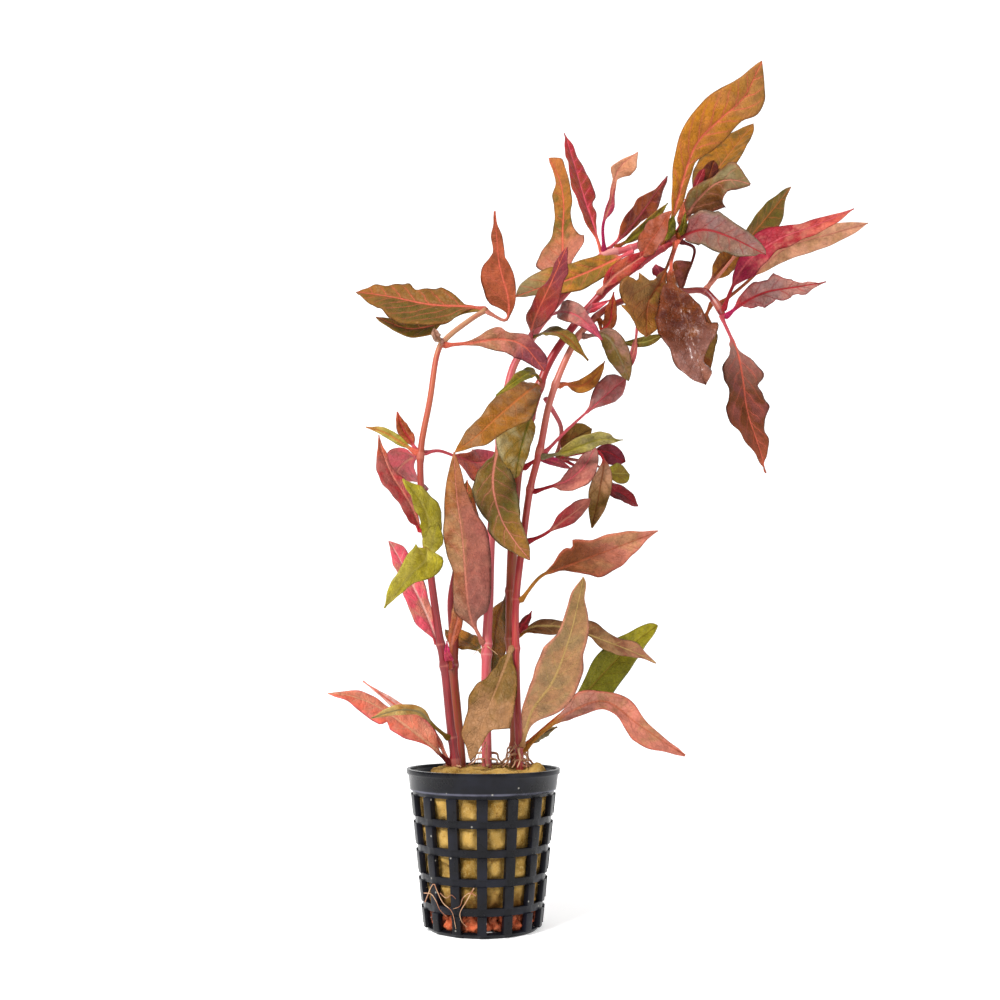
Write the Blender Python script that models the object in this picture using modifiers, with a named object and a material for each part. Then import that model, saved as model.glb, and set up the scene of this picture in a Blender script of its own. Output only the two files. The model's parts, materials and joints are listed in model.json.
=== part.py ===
"""Alternanthera reineckii: a bunch of cut stems in a small black net pot with rock wool.

The plant is 0.3 m tall. The origin is the centre of the pot's base, +Z is up, and the
front of the plant looks along -Y. Every stem and leaf runs through spots that were read
off one picture of the plant, 1000 by 1000 pixels, and each spot has a depth of its own:
its Y in millimetres, negative towards the viewer.
"""
import math

import bmesh
import bpy
from mathutils import Matrix, Vector

for old in list(bpy.data.objects):
    bpy.data.objects.remove(old, do_unlink=True)

MM = 0.001
GAP = 0.00035
MERGE = 0.00001

# The viewpoint of the picture: the eye's place, its upward pitch and its focal length.
EYE = Vector((0.0055, -0.370, 0.078))
PITCH = math.radians(9.5)
FOCAL_PX = 1088.0
CENTRE_PX = 500.0

# The pot, a moulded net of standing ribs and lying rings.
POT_HEIGHT = 0.050
LIP_RADIUS = 0.0253
LIP_HEIGHT = 0.0014
LIP_STEP = 0.0006
BAND_TOP_RADIUS = 0.0247
BAND_BOTTOM_RADIUS = 0.0241
BAND_HEIGHT = 0.0066
BAND_STEP = 0.0004
BODY_FOOT_RADIUS = 0.0185
BODY_SLOPE = 0.111
FOOT_RADIUS = 0.0177
WALL = 0.0011
RIB_PROUD = 0.0011
COLUMNS = 15
ROWS = 5
ROW_PITCH = 0.0088
HOLE_HEIGHT = 0.0065
TOP_HOLE_Z = 0.0420
LOWEST_HOLE_Z = 0.0012
HOLE_SHARE = 0.6
SLOT_RADII = (0.0145, 0.0080)

# The filling: clay granules at the bottom and a rock wool plug above them, whose top is
# domed. Each stem stands in a socket in the wool.
CLAY_TOP = 0.0068
CLAY_SIDES = 20
WOOL_BOTTOM = CLAY_TOP + GAP
WOOL_TOP = 0.0508
CROWN_SHARE = 0.55
CROWN_Z = 0.0505
SHOULDER_SHARE = 0.9
SHOULDER_Z = 0.0497
WOOL_EDGE_Z = 0.0482
WOOL_REACH_Z = 0.0490
WOOL_SIDES = 30
FILLING_CLEARANCE = 0.0005
SOCKET_DEPTH = 0.0085
SOCKET_SIDES = 8
COLLAR_RISE = 0.001

# The stems and the leaves.
CURVE_STEPS = 12
STEM_STEP = 0.011
STEM_MIN_RINGS = 5
MEETING_PASSES = 3
LEAF_THICKNESS = 0.00045
PETIOLE_HALF_WIDTH = 0.0007
TIP_HALF_WIDTH = 0.0003
LEAF_FOLD = math.radians(12)
BLADE_FULLNESS = 1.7
LEAF_ROWS = 8
SMALL_LEAF_ROWS = 6
SMALL_LEAF_LENGTH = 0.026

# Each stem: its radius at the foot and at the tip in mm, and its spots (px, py, depth).
STEMS = {
    "stem_left": (1.45, 0.9, [(455, 775, -4), (450, 720, -5), (445, 672, -6), (437, 620, -7),
                              (430, 568, -8), (422, 500, -9), (421, 450, -10), (430, 400, -10),
                              (437, 355, -10), (447, 338, -10), (470, 320, -9), (486, 310, -8)]),
    "stem_left_back": (2.1, 1.4, [(460, 775, 5), (456, 710, 5), (453, 672, 5), (454, 640, 5),
                                  (452, 600, 5), (458, 565, 5)]),
    "stem_middle": (1.7, 1.2, [(487, 775, 0), (486, 700, 0), (487, 640, 0), (489, 600, 1),
                               (491, 540, 3), (497, 470, 5), (504, 410, 6), (513, 368, 6),
                               (530, 340, 6), (555, 306, 6), (578, 280, 6), (601, 257, 6),
                               (628, 249, 7), (652, 240, 8)]),
    "stem_main": (2.0, 1.2, [(516, 775, 3), (515, 700, 3), (511, 640, 3), (512, 560, 2),
                             (517, 480, 1), (525, 438, 0), (537, 395, 0), (547, 367, 0),
                             (562, 342, 0), (585, 312, 0), (607, 289, 0), (635, 268, 0),
                             (660, 250, 0), (679, 237, 0)]),
    "stem_slender": (1.25, 1.1, [(520, 775, -6), (517, 700, -6), (516, 650, -6), (516, 600, -6),
                                 (523, 540, -6), (530, 490, -6), (540, 450, -6), (549, 405, -7),
                                 (562, 368, -7), (578, 337, -6), (592, 321, -6), (606, 309, -5),
                                 (622, 301, -3), (642, 295, -1), (664, 291, 1), (684, 291, 3),
                                 (704, 291, 3), (716, 303, 1), (724, 318, 0)]),
    "side_shoot": (0.9, 0.7, [(545, 398, 3), (553, 411, 6), (561, 427, 8), (560, 443, 9),
                              (556, 456, 9)]),
}

# Each leaf: the stem it grows from, the spots along its midrib from the stem to the tip,
# its depth in the middle and at the tip, the half widths left and right of the midrib in
# mm, the share of its length that is stalk, where it is widest, and its turn in degrees
# about the midrib, which brings its left edge nearer.
LEAVES = {
    "leaf_left_top": ("stem_left", [(486, 310), (468, 307), (430, 305), (390, 297), (356, 292)],
                      2, 16, (15.4, 5.0), 0.14, 0.42, 20),
    "leaf_left_upright": ("stem_left", [(488, 311), (506, 320), (509, 300), (500, 266),
                                        (497, 236), (495, 211)],
                          -14, -24, (6.8, 7.2), 0.28, 0.42, -35),
    "leaf_left_salmon": ("stem_left", [(446, 346), (470, 343), (500, 339), (524, 346), (545, 371)],
                         -18, -24, (4.6, 5.4), 0.20, 0.55, 25),
    "leaf_pair_red": ("stem_middle", [(530, 338), (537, 315), (552, 282), (567, 247)],
                      -10, -20, (4.3, 9.5), 0.15, 0.45, -40),
    "leaf_long_olive": ("stem_middle", [(630, 250), (600, 267), (566, 281), (538, 289), (516, 297)],
                        1, -4, (5.5, 5.1), 0.12, 0.45, 15),
    "leaf_crimson_upright": ("stem_middle", [(603, 254), (593, 226), (583, 196), (574, 165),
                                             (564, 133)],
                             16, 30, (6.2, 4.5), 0.15, 0.45, 40),
    "leaf_tall_orange": ("stem_middle", [(573, 286), (564, 262), (563, 235), (564, 205),
                                         (560, 180), (549, 158)],
                         18, 30, (6.8, 9.2), 0.12, 0.36, -35),
    "leaf_pink_flag": ("stem_middle", [(606, 255), (603, 226), (609, 206), (613, 186),
                                       (620, 167), (638, 152)],
                       -4, -14, (1.7, 3.1), 0.30, 0.72, 15),
    "leaf_brown_red": ("stem_middle", [(610, 254), (628, 230), (647, 205), (667, 176)],
                       16, 30, (6.2, 5.6), 0.12, 0.48, 40),
    "leaf_terracotta": ("stem_main", [(638, 266), (648, 246), (660, 229), (671, 211)],
                        -10, -18, (3.6, 4.9), 0.12, 0.45, -35),
    "leaf_top_large": ("stem_main", [(672, 243), (677, 200), (694, 148), (718, 121), (743, 98),
                                     (762, 61)],
                       -4, -14, (9.0, 6.4), 0.14, 0.58, 20),
    "leaf_top_behind": ("stem_main", [(680, 239), (702, 192), (728, 156), (753, 124)],
                        14, 28, (4.5, 9.6), 0.30, 0.58, -40),
    "leaf_top_curled": ("stem_main", [(680, 238), (692, 207), (712, 186), (730, 180), (750, 184)],
                        -13, -22, (6.6, 6.3), 0.28, 0.62, 20),
    "leaf_mauve_grey": ("stem_main", [(681, 238), (704, 230), (732, 238), (766, 255)],
                        -20, -36, (6.9, 6.1), 0.10, 0.42, 25),
    "leaf_right_olive": ("stem_slender", [(706, 290), (725, 268), (750, 237), (773, 209),
                                          (791, 187)],
                         16, 28, (6.5, 6.0), 0.38, 0.68, 40),
    "leaf_right_crimson": ("stem_slender", [(721, 311), (733, 286), (750, 260), (780, 239),
                                            (815, 226), (854, 209)],
                           -14, -26, (5.9, 7.3), 0.20, 0.38, -20),
    "leaf_right_peach": ("stem_slender", [(717, 305), (746, 283), (785, 248), (830, 234),
                                          (868, 223)],
                         6, 12, (4.6, 4.9), 0.25, 0.60, 35),
    "leaf_right_mauve": ("stem_slender", [(726, 318), (743, 303), (766, 292), (796, 287),
                                          (826, 282)],
                         -14, -26, (6.7, 5.7), 0.18, 0.45, 30),
    "leaf_hanging_tip": ("stem_slender", [(725, 320), (736, 350), (742, 378), (747, 412),
                                          (758, 446), (766, 473)],
                         -10, -14, (7.3, 9.8), 0.16, 0.45, -30),
    "leaf_glossy_brown": ("stem_main", [(675, 240), (671, 266), (677, 292), (688, 325),
                                        (697, 357), (706, 385)],
                          -22, -30, (11.1, 9.7), 0.22, 0.56, 15),
    "leaf_brown_behind": ("stem_slender", [(713, 301), (704, 322), (701, 348), (709, 374)],
                          8, 10, (5.2, 4.5), 0.15, 0.50, 40),
    "leaf_crinkled": ("stem_main", [(673, 242), (669, 262), (660, 282), (648, 303), (646, 336)],
                      -8, -16, (6.0, 10.0), 0.30, 0.66, -20),
    "leaf_dusty_pink": ("stem_middle", [(549, 316), (564, 312), (581, 318), (602, 340)],
                        -15, -22, (4.2, 3.3), 0.22, 0.52, 30),
    "leaf_green_small": ("stem_middle", [(534, 338), (551, 332), (568, 339), (588, 361)],
                         -12, -16, (3.3, 3.1), 0.10, 0.50, -25),
    "leaf_ochre_large": ("stem_main", [(540, 388), (525, 394), (500, 415), (476, 437), (455, 452)],
                         -20, -32, (9.5, 6.5), 0.06, 0.36, 15),
    "leaf_magenta_left": ("stem_left", [(423, 452), (440, 451), (460, 458), (480, 463), (497, 453)],
                          2, 16, (3.1, 6.6), 0.35, 0.66, -20),
    "leaf_dark_hanging": ("stem_middle", [(501, 441), (493, 480), (500, 515), (514, 540),
                                          (530, 560)],
                          -14, -20, (7.5, 6.7), 0.10, 0.45, 15),
    "leaf_green_behind": ("stem_main", [(530, 415), (524, 436), (519, 455), (515, 478)],
                          -5, -5, (3.1, 3.1), 0.10, 0.45, -25),
    "leaf_mauve_large": ("stem_middle", [(483, 643), (471, 617), (467, 590), (463, 540),
                                         (457, 495), (454, 452)],
                         -14, -24, (7.2, 9.9), 0.12, 0.44, -25),
    "leaf_lime_upper": ("stem_left", [(428, 540), (428, 520), (418, 498), (403, 479)],
                        -18, -26, (5.6, 5.5), 0.08, 0.45, 40),
    "leaf_lime_lower": ("stem_left", [(429, 548), (425, 560), (408, 577), (384, 608)],
                        -18, -26, (4.3, 5.8), 0.08, 0.42, -35),
    "leaf_hot_pink": ("stem_left", [(439, 643), (425, 612), (410, 581), (398, 557), (389, 541)],
                      2, 12, (7.1, 4.7), 0.10, 0.42, 35),
    "leaf_purple_left": ("stem_left", [(424, 530), (410, 505), (392, 476), (382, 452), (379, 435)],
                         -6, -2, (6.7, 4.1), 0.10, 0.45, 40),
    "leaf_crimson_left": ("stem_left", [(420, 456), (408, 460), (398, 470), (392, 485)],
                          4, 15, (3.3, 4.4), 0.15, 0.50, -35),
    "leaf_tan_large": ("stem_slender", [(517, 746), (531, 712), (553, 680), (568, 641),
                                        (577, 606), (583, 577)],
                       -24, -40, (7.9, 7.2), 0.12, 0.42, 25),
    "leaf_salmon_brown": ("stem_slender", [(518, 600), (540, 577), (561, 568), (590, 557),
                                           (622, 545), (658, 531)],
                          -14, -22, (8.0, 5.9), 0.24, 0.52, 30),
    "leaf_brown_narrow": ("stem_main", [(514, 636), (536, 627), (570, 629), (601, 640),
                                        (630, 651), (656, 663)],
                          12, 22, (3.3, 4.4), 0.22, 0.62, -35),
    "leaf_green_low": ("stem_main", [(519, 747), (548, 725), (580, 698), (605, 671),
                                     (630, 646), (657, 625)],
                       16, 34, (9.0, 7.6), 0.28, 0.60, 35),
    "leaf_pink_low": ("stem_slender", [(521, 749), (545, 730), (575, 710), (606, 702),
                                       (640, 726), (685, 756)],
                      -10, -20, (4.2, 6.0), 0.26, 0.58, -25),
    "leaf_tan_low": ("stem_slender", [(513, 648), (500, 680), (488, 710), (476, 740), (470, 761)],
                     -14, -16, (8.8, 6.7), 0.08, 0.50, 20),
    "leaf_olive_low": ("stem_middle", [(484, 652), (465, 641), (445, 630)],
                       12, 20, (5.3, 3.9), 0.10, 0.50, 35),
    "leaf_dark_between": ("stem_main", [(509, 592), (498, 620), (494, 655), (492, 690)],
                          16, 20, (6.7, 4.7), 0.10, 0.50, 40),
    "leaf_back_tip": ("stem_left_back", [(458, 567), (462, 545), (466, 515), (467, 480)],
                      10, 16, (5.9, 4.8), 0.12, 0.48, 25),
    "leaf_coral_low": ("stem_left", [(452, 762), (432, 747), (407, 727), (376, 706), (350, 696),
                                     (328, 693)],
                       -14, -22, (4.8, 5.4), 0.12, 0.44, 25),
    "leaf_mauve_cup": ("stem_slender", [(543, 452), (566, 431), (588, 411), (607, 394),
                                        (625, 379)],
                       -2, 8, (4.2, 3.6), 0.50, 0.76, 25),
    "leaf_olive_fold": ("stem_slender", [(582, 336), (606, 336), (619, 355), (629, 381)],
                        -11, -9, (3.1, 2.5), 0.20, 0.55, 30),
    "leaf_pale_green": ("stem_slender", [(542, 457), (566, 452), (597, 440), (623, 440)],
                        -14, -24, (3.4, 2.5), 0.18, 0.52, 25),
    "leaf_salmon_mauve": ("stem_slender", [(532, 491), (549, 487), (568, 481), (584, 467),
                                           (596, 448)],
                          -8, -8, (2.8, 4.3), 0.26, 0.62, -30),
    "leaf_olive_hanging": ("side_shoot", [(558, 456), (584, 447), (603, 458), (600, 490),
                                          (592, 528)],
                           8, 4, (4.7, 3.8), 0.42, 0.68, 25),
    "leaf_crimson_small": ("stem_slender", [(525, 541), (545, 534), (562, 521), (576, 511),
                                            (590, 499)],
                           -6, -2, (3.5, 2.9), 0.30, 0.66, 25),
    "leaf_wine": ("side_shoot", [(557, 457), (582, 470), (606, 488), (622, 494), (638, 506)],
                  18, 28, (3.6, 4.3), 0.45, 0.72, -30),
}

# What each part is made of: its colour and its roughness.
FINISHES = {
    "net_pot": ((0.020, 0.021, 0.028), 0.35),
    "rock_wool": ((0.42, 0.27, 0.08), 0.9),
    "clay_granules": ((0.42, 0.10, 0.04), 0.9),
    "stem": ((0.33, 0.03, 0.06), 0.5),
    "leaf": ((0.30, 0.12, 0.06), 0.45),
}


def new_collection(name):
    collection = bpy.data.collections.new(name)
    bpy.context.scene.collection.children.link(collection)
    return collection


PLANT = new_collection("alternanthera_reineckii")
CUTTERS = new_collection("cutters")


def plain_material(name, finish):
    colour, roughness = FINISHES[finish]
    material = bpy.data.materials.new(name)
    material.use_nodes = True
    shader = material.node_tree.nodes["Principled BSDF"]
    shader.inputs["Base Color"].default_value = (*colour, 1.0)
    shader.inputs["Roughness"].default_value = roughness
    shader.inputs["Metallic"].default_value = 0.0
    return material


def add_object(name, data, material=None, collection=PLANT):
    thing = bpy.data.objects.new(name, data)
    collection.objects.link(thing)
    if material:
        data.materials.append(material)
    return thing


def spot(px, py, depth):
    """The place where the sight line through a picture spot meets the plane Y = depth."""
    forward = Vector((0.0, math.cos(PITCH), math.sin(PITCH)))
    upward = Vector((0.0, -math.sin(PITCH), math.cos(PITCH)))
    across = Vector((1.0, 0.0, 0.0))
    ray = forward + across * ((px - CENTRE_PX) / FOCAL_PX) + upward * ((CENTRE_PX - py) / FOCAL_PX)
    return EYE + ray * ((depth - EYE.y) / ray.y)


def smooth_path(points, count):
    """Evenly spaced places along a Catmull-Rom curve through the points."""
    ends = [points[0] * 2 - points[1]] + points + [points[-1] * 2 - points[-2]]
    fine = []
    for a, b, c, d in zip(ends, ends[1:], ends[2:], ends[3:]):
        for step in range(CURVE_STEPS):
            t = step / CURVE_STEPS
            fine.append(0.5 * (2 * b + (c - a) * t + (2 * a - 5 * b + 4 * c - d) * t ** 2
                               + (3 * b - 3 * c + d - a) * t ** 3))
    fine.append(points[-1])
    run = [0.0]
    for a, b in zip(fine, fine[1:]):
        run.append(run[-1] + (b - a).length)
    places = []
    segment = 0
    for index in range(count):
        goal = run[-1] * index / (count - 1)
        while segment < len(run) - 2 and run[segment + 1] < goal:
            segment += 1
        share = (goal - run[segment]) / (run[segment + 1] - run[segment])
        places.append(fine[segment].lerp(fine[segment + 1], min(max(share, 0.0), 1.0)))
    return places


def stem_course(name):
    """The stem's centre line with its radii, from its foot inside the wool upwards."""
    foot_radius, tip_radius, spots = STEMS[name]
    points = [spot(px, py, depth * MM) for px, py, depth in spots]
    if name != "side_shoot":
        points[0].z = WOOL_TOP - SOCKET_DEPTH
        collar = points[0].copy()
        collar.z = WOOL_TOP + COLLAR_RISE
        points.insert(1, collar)
    length = sum((b - a).length for a, b in zip(points, points[1:]))
    count = max(STEM_MIN_RINGS, round(length / STEM_STEP) + 1)
    places = smooth_path(points, count)
    radii = [(foot_radius + (tip_radius - foot_radius) * i / (count - 1)) * MM
             for i in range(count)]
    return places, radii


COURSES = {name: stem_course(name) for name in STEMS}


def stem(name):
    places, radii = COURSES[name]
    curve = bpy.data.curves.new(name, "CURVE")
    curve.dimensions = "3D"
    curve.bevel_depth = radii[0]
    curve.bevel_resolution = 1
    curve.use_fill_caps = True
    spline = curve.splines.new("POLY")
    spline.points.add(len(places) - 1)
    for point, place, radius in zip(spline.points, places, radii):
        point.co = (*place, 1.0)
        point.radius = radius / radii[0]
    return add_object(name, curve, plain_material(name, "stem"))


def nearest_on_stem(name, place):
    """The centre, direction and radius of a stem where it passes nearest to a place."""
    places, radii = COURSES[name]
    best = None
    for a, b, r in zip(places, places[1:], radii):
        along = b - a
        share = min(max((place - a).dot(along) / along.length_squared, 0.0), 1.0)
        centre = a + along * share
        if best is None or (place - centre).length < best[0]:
            best = ((place - centre).length, centre, along.normalized(), r)
    return best[1:]


def blade_share(t, stalk, belly):
    """Half width at t of the leaf's length, as a share of the greatest half width."""
    if t <= stalk:
        return 0.0
    s = (t - stalk) / (1.0 - stalk)
    widest = (belly - stalk) / (1.0 - stalk)
    a, b = BLADE_FULLNESS * widest, BLADE_FULLNESS * (1.0 - widest)
    return (s ** a * (1.0 - s) ** b) / (widest ** a * (1.0 - widest) ** b)


def leaf(name):
    grown_from, spots, middle, end, halves, stalk, belly, turn = LEAVES[name]
    at_stem = spot(*spots[0], 0.0)
    for _ in range(MEETING_PASSES):
        centre, stem_way, stem_radius = nearest_on_stem(grown_from, at_stem)
        at_stem = spot(*spots[0], centre.y)
    last = len(spots) - 1
    depths = []
    for index in range(last + 1):
        t = index / last
        start = centre.y / MM
        depths.append(start * (1 - t) * (1 - 2 * t) + middle * 4 * t * (1 - t)
                      + end * t * (2 * t - 1))
    points = [spot(px, py, depth * MM) for (px, py), depth in zip(spots, depths)]
    away = points[1] - centre
    away -= stem_way * away.dot(stem_way)
    points[0] = centre + away.normalized() * (stem_radius + PETIOLE_HALF_WIDTH + GAP)
    length = sum((b - a).length for a, b in zip(points, points[1:]))
    rows = LEAF_ROWS if length > SMALL_LEAF_LENGTH else SMALL_LEAF_ROWS
    midrib = smooth_path(points, rows + 1)
    grid = bmesh.new()
    bmesh.ops.create_grid(grid, x_segments=2, y_segments=rows, size=0.5)
    for vertex in grid.verts:
        side = round(vertex.co.x * 2)
        row = round((vertex.co.y + 0.5) * rows)
        t = row / rows
        way = (midrib[min(row + 1, rows)] - midrib[max(row - 1, 0)]).normalized()
        left = way.cross(Vector((0, 1, 0))).normalized()
        front = way.cross(left)
        angle = math.radians(turn)
        tilted = left * math.cos(angle) + front * math.sin(angle)
        face = way.cross(tilted)
        widest = (halves[0] if side < 0 else halves[1]) * MM
        floor = PETIOLE_HALF_WIDTH + (TIP_HALF_WIDTH - PETIOLE_HALF_WIDTH) * t
        half = max(widest * blade_share(t, stalk, belly), floor)
        vertex.co = midrib[row] + (tilted * -side * math.cos(LEAF_FOLD)
                                   + face * abs(side) * math.sin(LEAF_FOLD)) * half
    mesh = bpy.data.meshes.new(name)
    grid.to_mesh(mesh)
    grid.free()
    thing = add_object(name, mesh, plain_material(name, "leaf"))
    solid = thing.modifiers.new("blade thickness", "SOLIDIFY")
    solid.thickness = LEAF_THICKNESS
    solid.offset = 0.0
    solid.use_even_offset = True
    return thing


def body_radius(z):
    return BODY_FOOT_RADIUS + BODY_SLOPE * z


def pot_levels():
    """Heights and radii of the pot's outer skin, top to bottom, and which bands have holes."""
    band_top = POT_HEIGHT - LIP_HEIGHT
    band_bottom = POT_HEIGHT - BAND_HEIGHT
    levels = [(POT_HEIGHT, LIP_RADIUS), (band_top, LIP_RADIUS),
              (band_top - LIP_STEP, BAND_TOP_RADIUS), (band_bottom, BAND_BOTTOM_RADIUS),
              (band_bottom - BAND_STEP, body_radius(band_bottom))]
    pierced = set()
    for row in range(ROWS):
        top = TOP_HOLE_Z - row * ROW_PITCH
        bottom = max(top - HOLE_HEIGHT, LOWEST_HOLE_Z)
        pierced.add(len(levels))
        levels += [(top, body_radius(top)), (bottom, body_radius(bottom))]
    levels += [(0.0, FOOT_RADIUS), (0.0, SLOT_RADII[0]), (0.0, SLOT_RADII[1])]
    return levels, pierced


def as_mesh(source, name):
    """The object as its modifiers leave it, in a mesh of its own; the source is removed."""
    graph = bpy.context.evaluated_depsgraph_get()
    mesh = bpy.data.meshes.new_from_object(source.evaluated_get(graph))
    mesh.name = name
    bpy.data.objects.remove(source, do_unlink=True)
    return mesh


def column_angles():
    """Where the ribs' edges stand round the pot, with one rib at the very front."""
    column = 2 * math.pi / COLUMNS
    rib = column * (1 - HOLE_SHARE)
    angles = []
    for index in range(COLUMNS):
        start = -math.pi / 2 - rib / 2 + index * column
        angles += [start, start + rib]
    return angles + [angles[0] + 2 * math.pi]


def pot_skin():
    """The pot's outer skin: a grid rolled into a cup, with its holes and slots taken out."""
    levels, pierced = pot_levels()
    angles = column_angles()
    bands, sides = len(levels) - 1, len(angles) - 1
    skin = bmesh.new()
    bmesh.ops.create_grid(skin, x_segments=sides, y_segments=bands, size=0.5)
    places = {vertex: (round((vertex.co.x + 0.5) * sides), round((0.5 - vertex.co.y) * bands))
              for vertex in skin.verts}
    openings = []
    for face in skin.faces:
        side = min(places[vertex][0] for vertex in face.verts)
        band = min(places[vertex][1] for vertex in face.verts)
        if side % 2 == 1 and (band in pierced or band == bands - 1):
            openings.append(face)
    bmesh.ops.delete(skin, geom=openings, context="FACES_ONLY")
    for vertex, (side, level) in places.items():
        z, radius = levels[level]
        vertex.co = (radius * math.cos(angles[side]), radius * math.sin(angles[side]), z)
    bmesh.ops.remove_doubles(skin, verts=skin.verts[:], dist=MERGE)
    hub = [edge for edge in skin.edges if len(edge.link_faces) < 2
           and all(vertex.co.xy.length < SLOT_RADII[1] + MERGE and vertex.co.z < MERGE
                   for vertex in edge.verts)]
    bmesh.ops.contextual_create(skin, geom=hub)
    bmesh.ops.recalc_face_normals(skin, faces=skin.faces[:])
    mesh = bpy.data.meshes.new("pot skin")
    skin.to_mesh(mesh)
    skin.free()
    return mesh


def rib_faces(shell):
    """The outward faces between one hole and the next, where the standing ribs run."""
    levels, pierced = pot_levels()
    spans = [(levels[band + 1][0], levels[band][0]) for band in pierced]
    found = []
    for face in shell.faces:
        centre = face.calc_center_median()
        outward = Vector((centre.x, centre.y, 0.0)).normalized()
        level_face = face.normal.dot(outward) > 0.9
        if level_face and any(low < centre.z < high for low, high in spans):
            found.append(face)
    return found


def net_pot():
    skin = add_object("pot skin", pot_skin())
    solid = skin.modifiers.new("wall", "SOLIDIFY")
    solid.thickness = WALL
    solid.offset = -1.0
    solid.use_even_offset = True
    shell = bmesh.new()
    shell.from_mesh(as_mesh(skin, "net_pot"))
    shell.normal_update()
    for face in bmesh.ops.extrude_discrete_faces(shell, faces=rib_faces(shell))["faces"]:
        for vertex in face.verts:
            outward = Vector((vertex.co.x, vertex.co.y, 0.0)).normalized()
            vertex.co += outward * RIB_PROUD
    mesh = bpy.data.meshes.new("net_pot")
    shell.to_mesh(mesh)
    shell.free()
    return add_object("net_pot", mesh, plain_material("net_pot", "net_pot"))


def turned(name, profile, sides):
    """A solid turned about the Z axis from a profile of radii and heights, top to bottom."""
    line = bmesh.new()
    points = [line.verts.new((radius, 0.0, z)) for radius, z in profile]
    for a, b in zip(points, points[1:]):
        line.edges.new((a, b))
    mesh = bpy.data.meshes.new(name)
    line.to_mesh(mesh)
    line.free()
    thing = add_object(name, mesh, plain_material(name, name))
    screw = thing.modifiers.new("turn", "SCREW")
    screw.steps = sides
    screw.render_steps = sides
    screw.use_merge_vertices = True
    screw.merge_threshold = MERGE
    return thing


def filling_radius(z):
    return body_radius(z) - WALL - FILLING_CLEARANCE


def clay_granules():
    bottom = WALL + GAP
    return turned("clay_granules", [(0.0, CLAY_TOP), (filling_radius(CLAY_TOP), CLAY_TOP),
                                    (filling_radius(bottom), bottom), (0.0, bottom)],
                  CLAY_SIDES)


def rock_wool():
    edge = filling_radius(WOOL_REACH_Z)
    profile = [(0.0, WOOL_TOP), (edge * CROWN_SHARE, CROWN_Z),
               (edge * SHOULDER_SHARE, SHOULDER_Z), (edge, WOOL_EDGE_Z),
               (filling_radius(WOOL_BOTTOM), WOOL_BOTTOM), (0.0, WOOL_BOTTOM)]
    wool = turned("rock_wool", profile, WOOL_SIDES)
    for name, (places, radii) in COURSES.items():
        if name == "side_shoot":
            continue
        socket = bmesh.new()
        foot = places[0]
        bmesh.ops.create_cone(socket, cap_ends=True, segments=SOCKET_SIDES, radius1=radii[0] + GAP,
                              radius2=radii[0] + GAP, depth=2 * SOCKET_DEPTH,
                              matrix=Matrix.Translation((foot.x, foot.y,
                                                         foot.z - GAP + SOCKET_DEPTH)))
        mesh = bpy.data.meshes.new(name + " socket")
        socket.to_mesh(mesh)
        socket.free()
        cutter = add_object(name + " socket", mesh, collection=CUTTERS)
        cutter.hide_render = True
        cutter.display_type = "WIRE"
        cut = wool.modifiers.new(name + " socket", "BOOLEAN")
        cut.operation = "DIFFERENCE"
        cut.solver = "EXACT"
        cut.object = cutter
    return wool


def main():
    net_pot()
    clay_granules()
    rock_wool()
    for name in STEMS:
        stem(name)
    for name in LEAVES:
        leaf(name)


main()
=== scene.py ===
# %% [markdown]
# # A bunch of Alternanthera reineckii in its net pot
#
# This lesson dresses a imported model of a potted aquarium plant. The solids in the frame
# are plain: flat folded leaves, stems with few sides, a faceted pot. Here each one gets the
# surface of the real thing. Everything is in metres and sits where the solids sit.

# %% Load the frame
import json
import math

import bmesh
import bpy
import numpy as np
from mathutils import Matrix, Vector, noise


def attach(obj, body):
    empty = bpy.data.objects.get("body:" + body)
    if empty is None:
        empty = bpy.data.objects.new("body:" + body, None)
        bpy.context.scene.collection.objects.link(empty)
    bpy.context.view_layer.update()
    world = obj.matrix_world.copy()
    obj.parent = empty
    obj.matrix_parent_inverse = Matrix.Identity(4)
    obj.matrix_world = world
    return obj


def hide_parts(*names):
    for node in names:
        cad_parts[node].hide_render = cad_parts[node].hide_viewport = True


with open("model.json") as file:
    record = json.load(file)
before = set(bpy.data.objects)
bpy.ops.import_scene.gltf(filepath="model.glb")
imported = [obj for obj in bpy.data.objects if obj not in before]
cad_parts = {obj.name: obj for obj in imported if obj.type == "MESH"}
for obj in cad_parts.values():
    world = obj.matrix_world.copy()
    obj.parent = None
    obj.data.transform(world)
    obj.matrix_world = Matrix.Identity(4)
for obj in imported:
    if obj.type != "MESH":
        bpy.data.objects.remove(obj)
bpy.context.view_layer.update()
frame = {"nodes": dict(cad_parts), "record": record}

MM = 0.001
print("nodes in the frame:", len(frame["nodes"]))

# %% [markdown]
# ## Objects and materials
#
# Three helpers are used all through. One links a new object to the scene, one sets the
# inputs of a node, and one makes a material and hands over its shader.


# %% Objects and materials
def new_object(name, data):
    thing = bpy.data.objects.new(name, data)
    bpy.context.scene.collection.objects.link(thing)
    return thing


def feed(node, inputs):
    """Sets inputs, by name or number, to plain values or to other nodes' outputs."""
    for key, value in inputs.items():
        if isinstance(value, bpy.types.NodeSocket):
            node.id_data.links.new(value, node.inputs[key])
        else:
            node.inputs[key].default_value = value


def new_material(name):
    material = bpy.data.materials.new(name)
    material.use_nodes = True
    return material, material.node_tree.nodes["Principled BSDF"]


# %% [markdown]
# ## Viewpoint
#
# The plant was photographed from the front, from just above the pot's rim, with the
# camera looking up a little. The eye's place, its upward pitch and its focal length in
# pixels of a 1000 by 1000 picture are one set of values. They make Blender's camera, and
# they also turn a spot of the picture and a depth into a place in the model.

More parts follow.
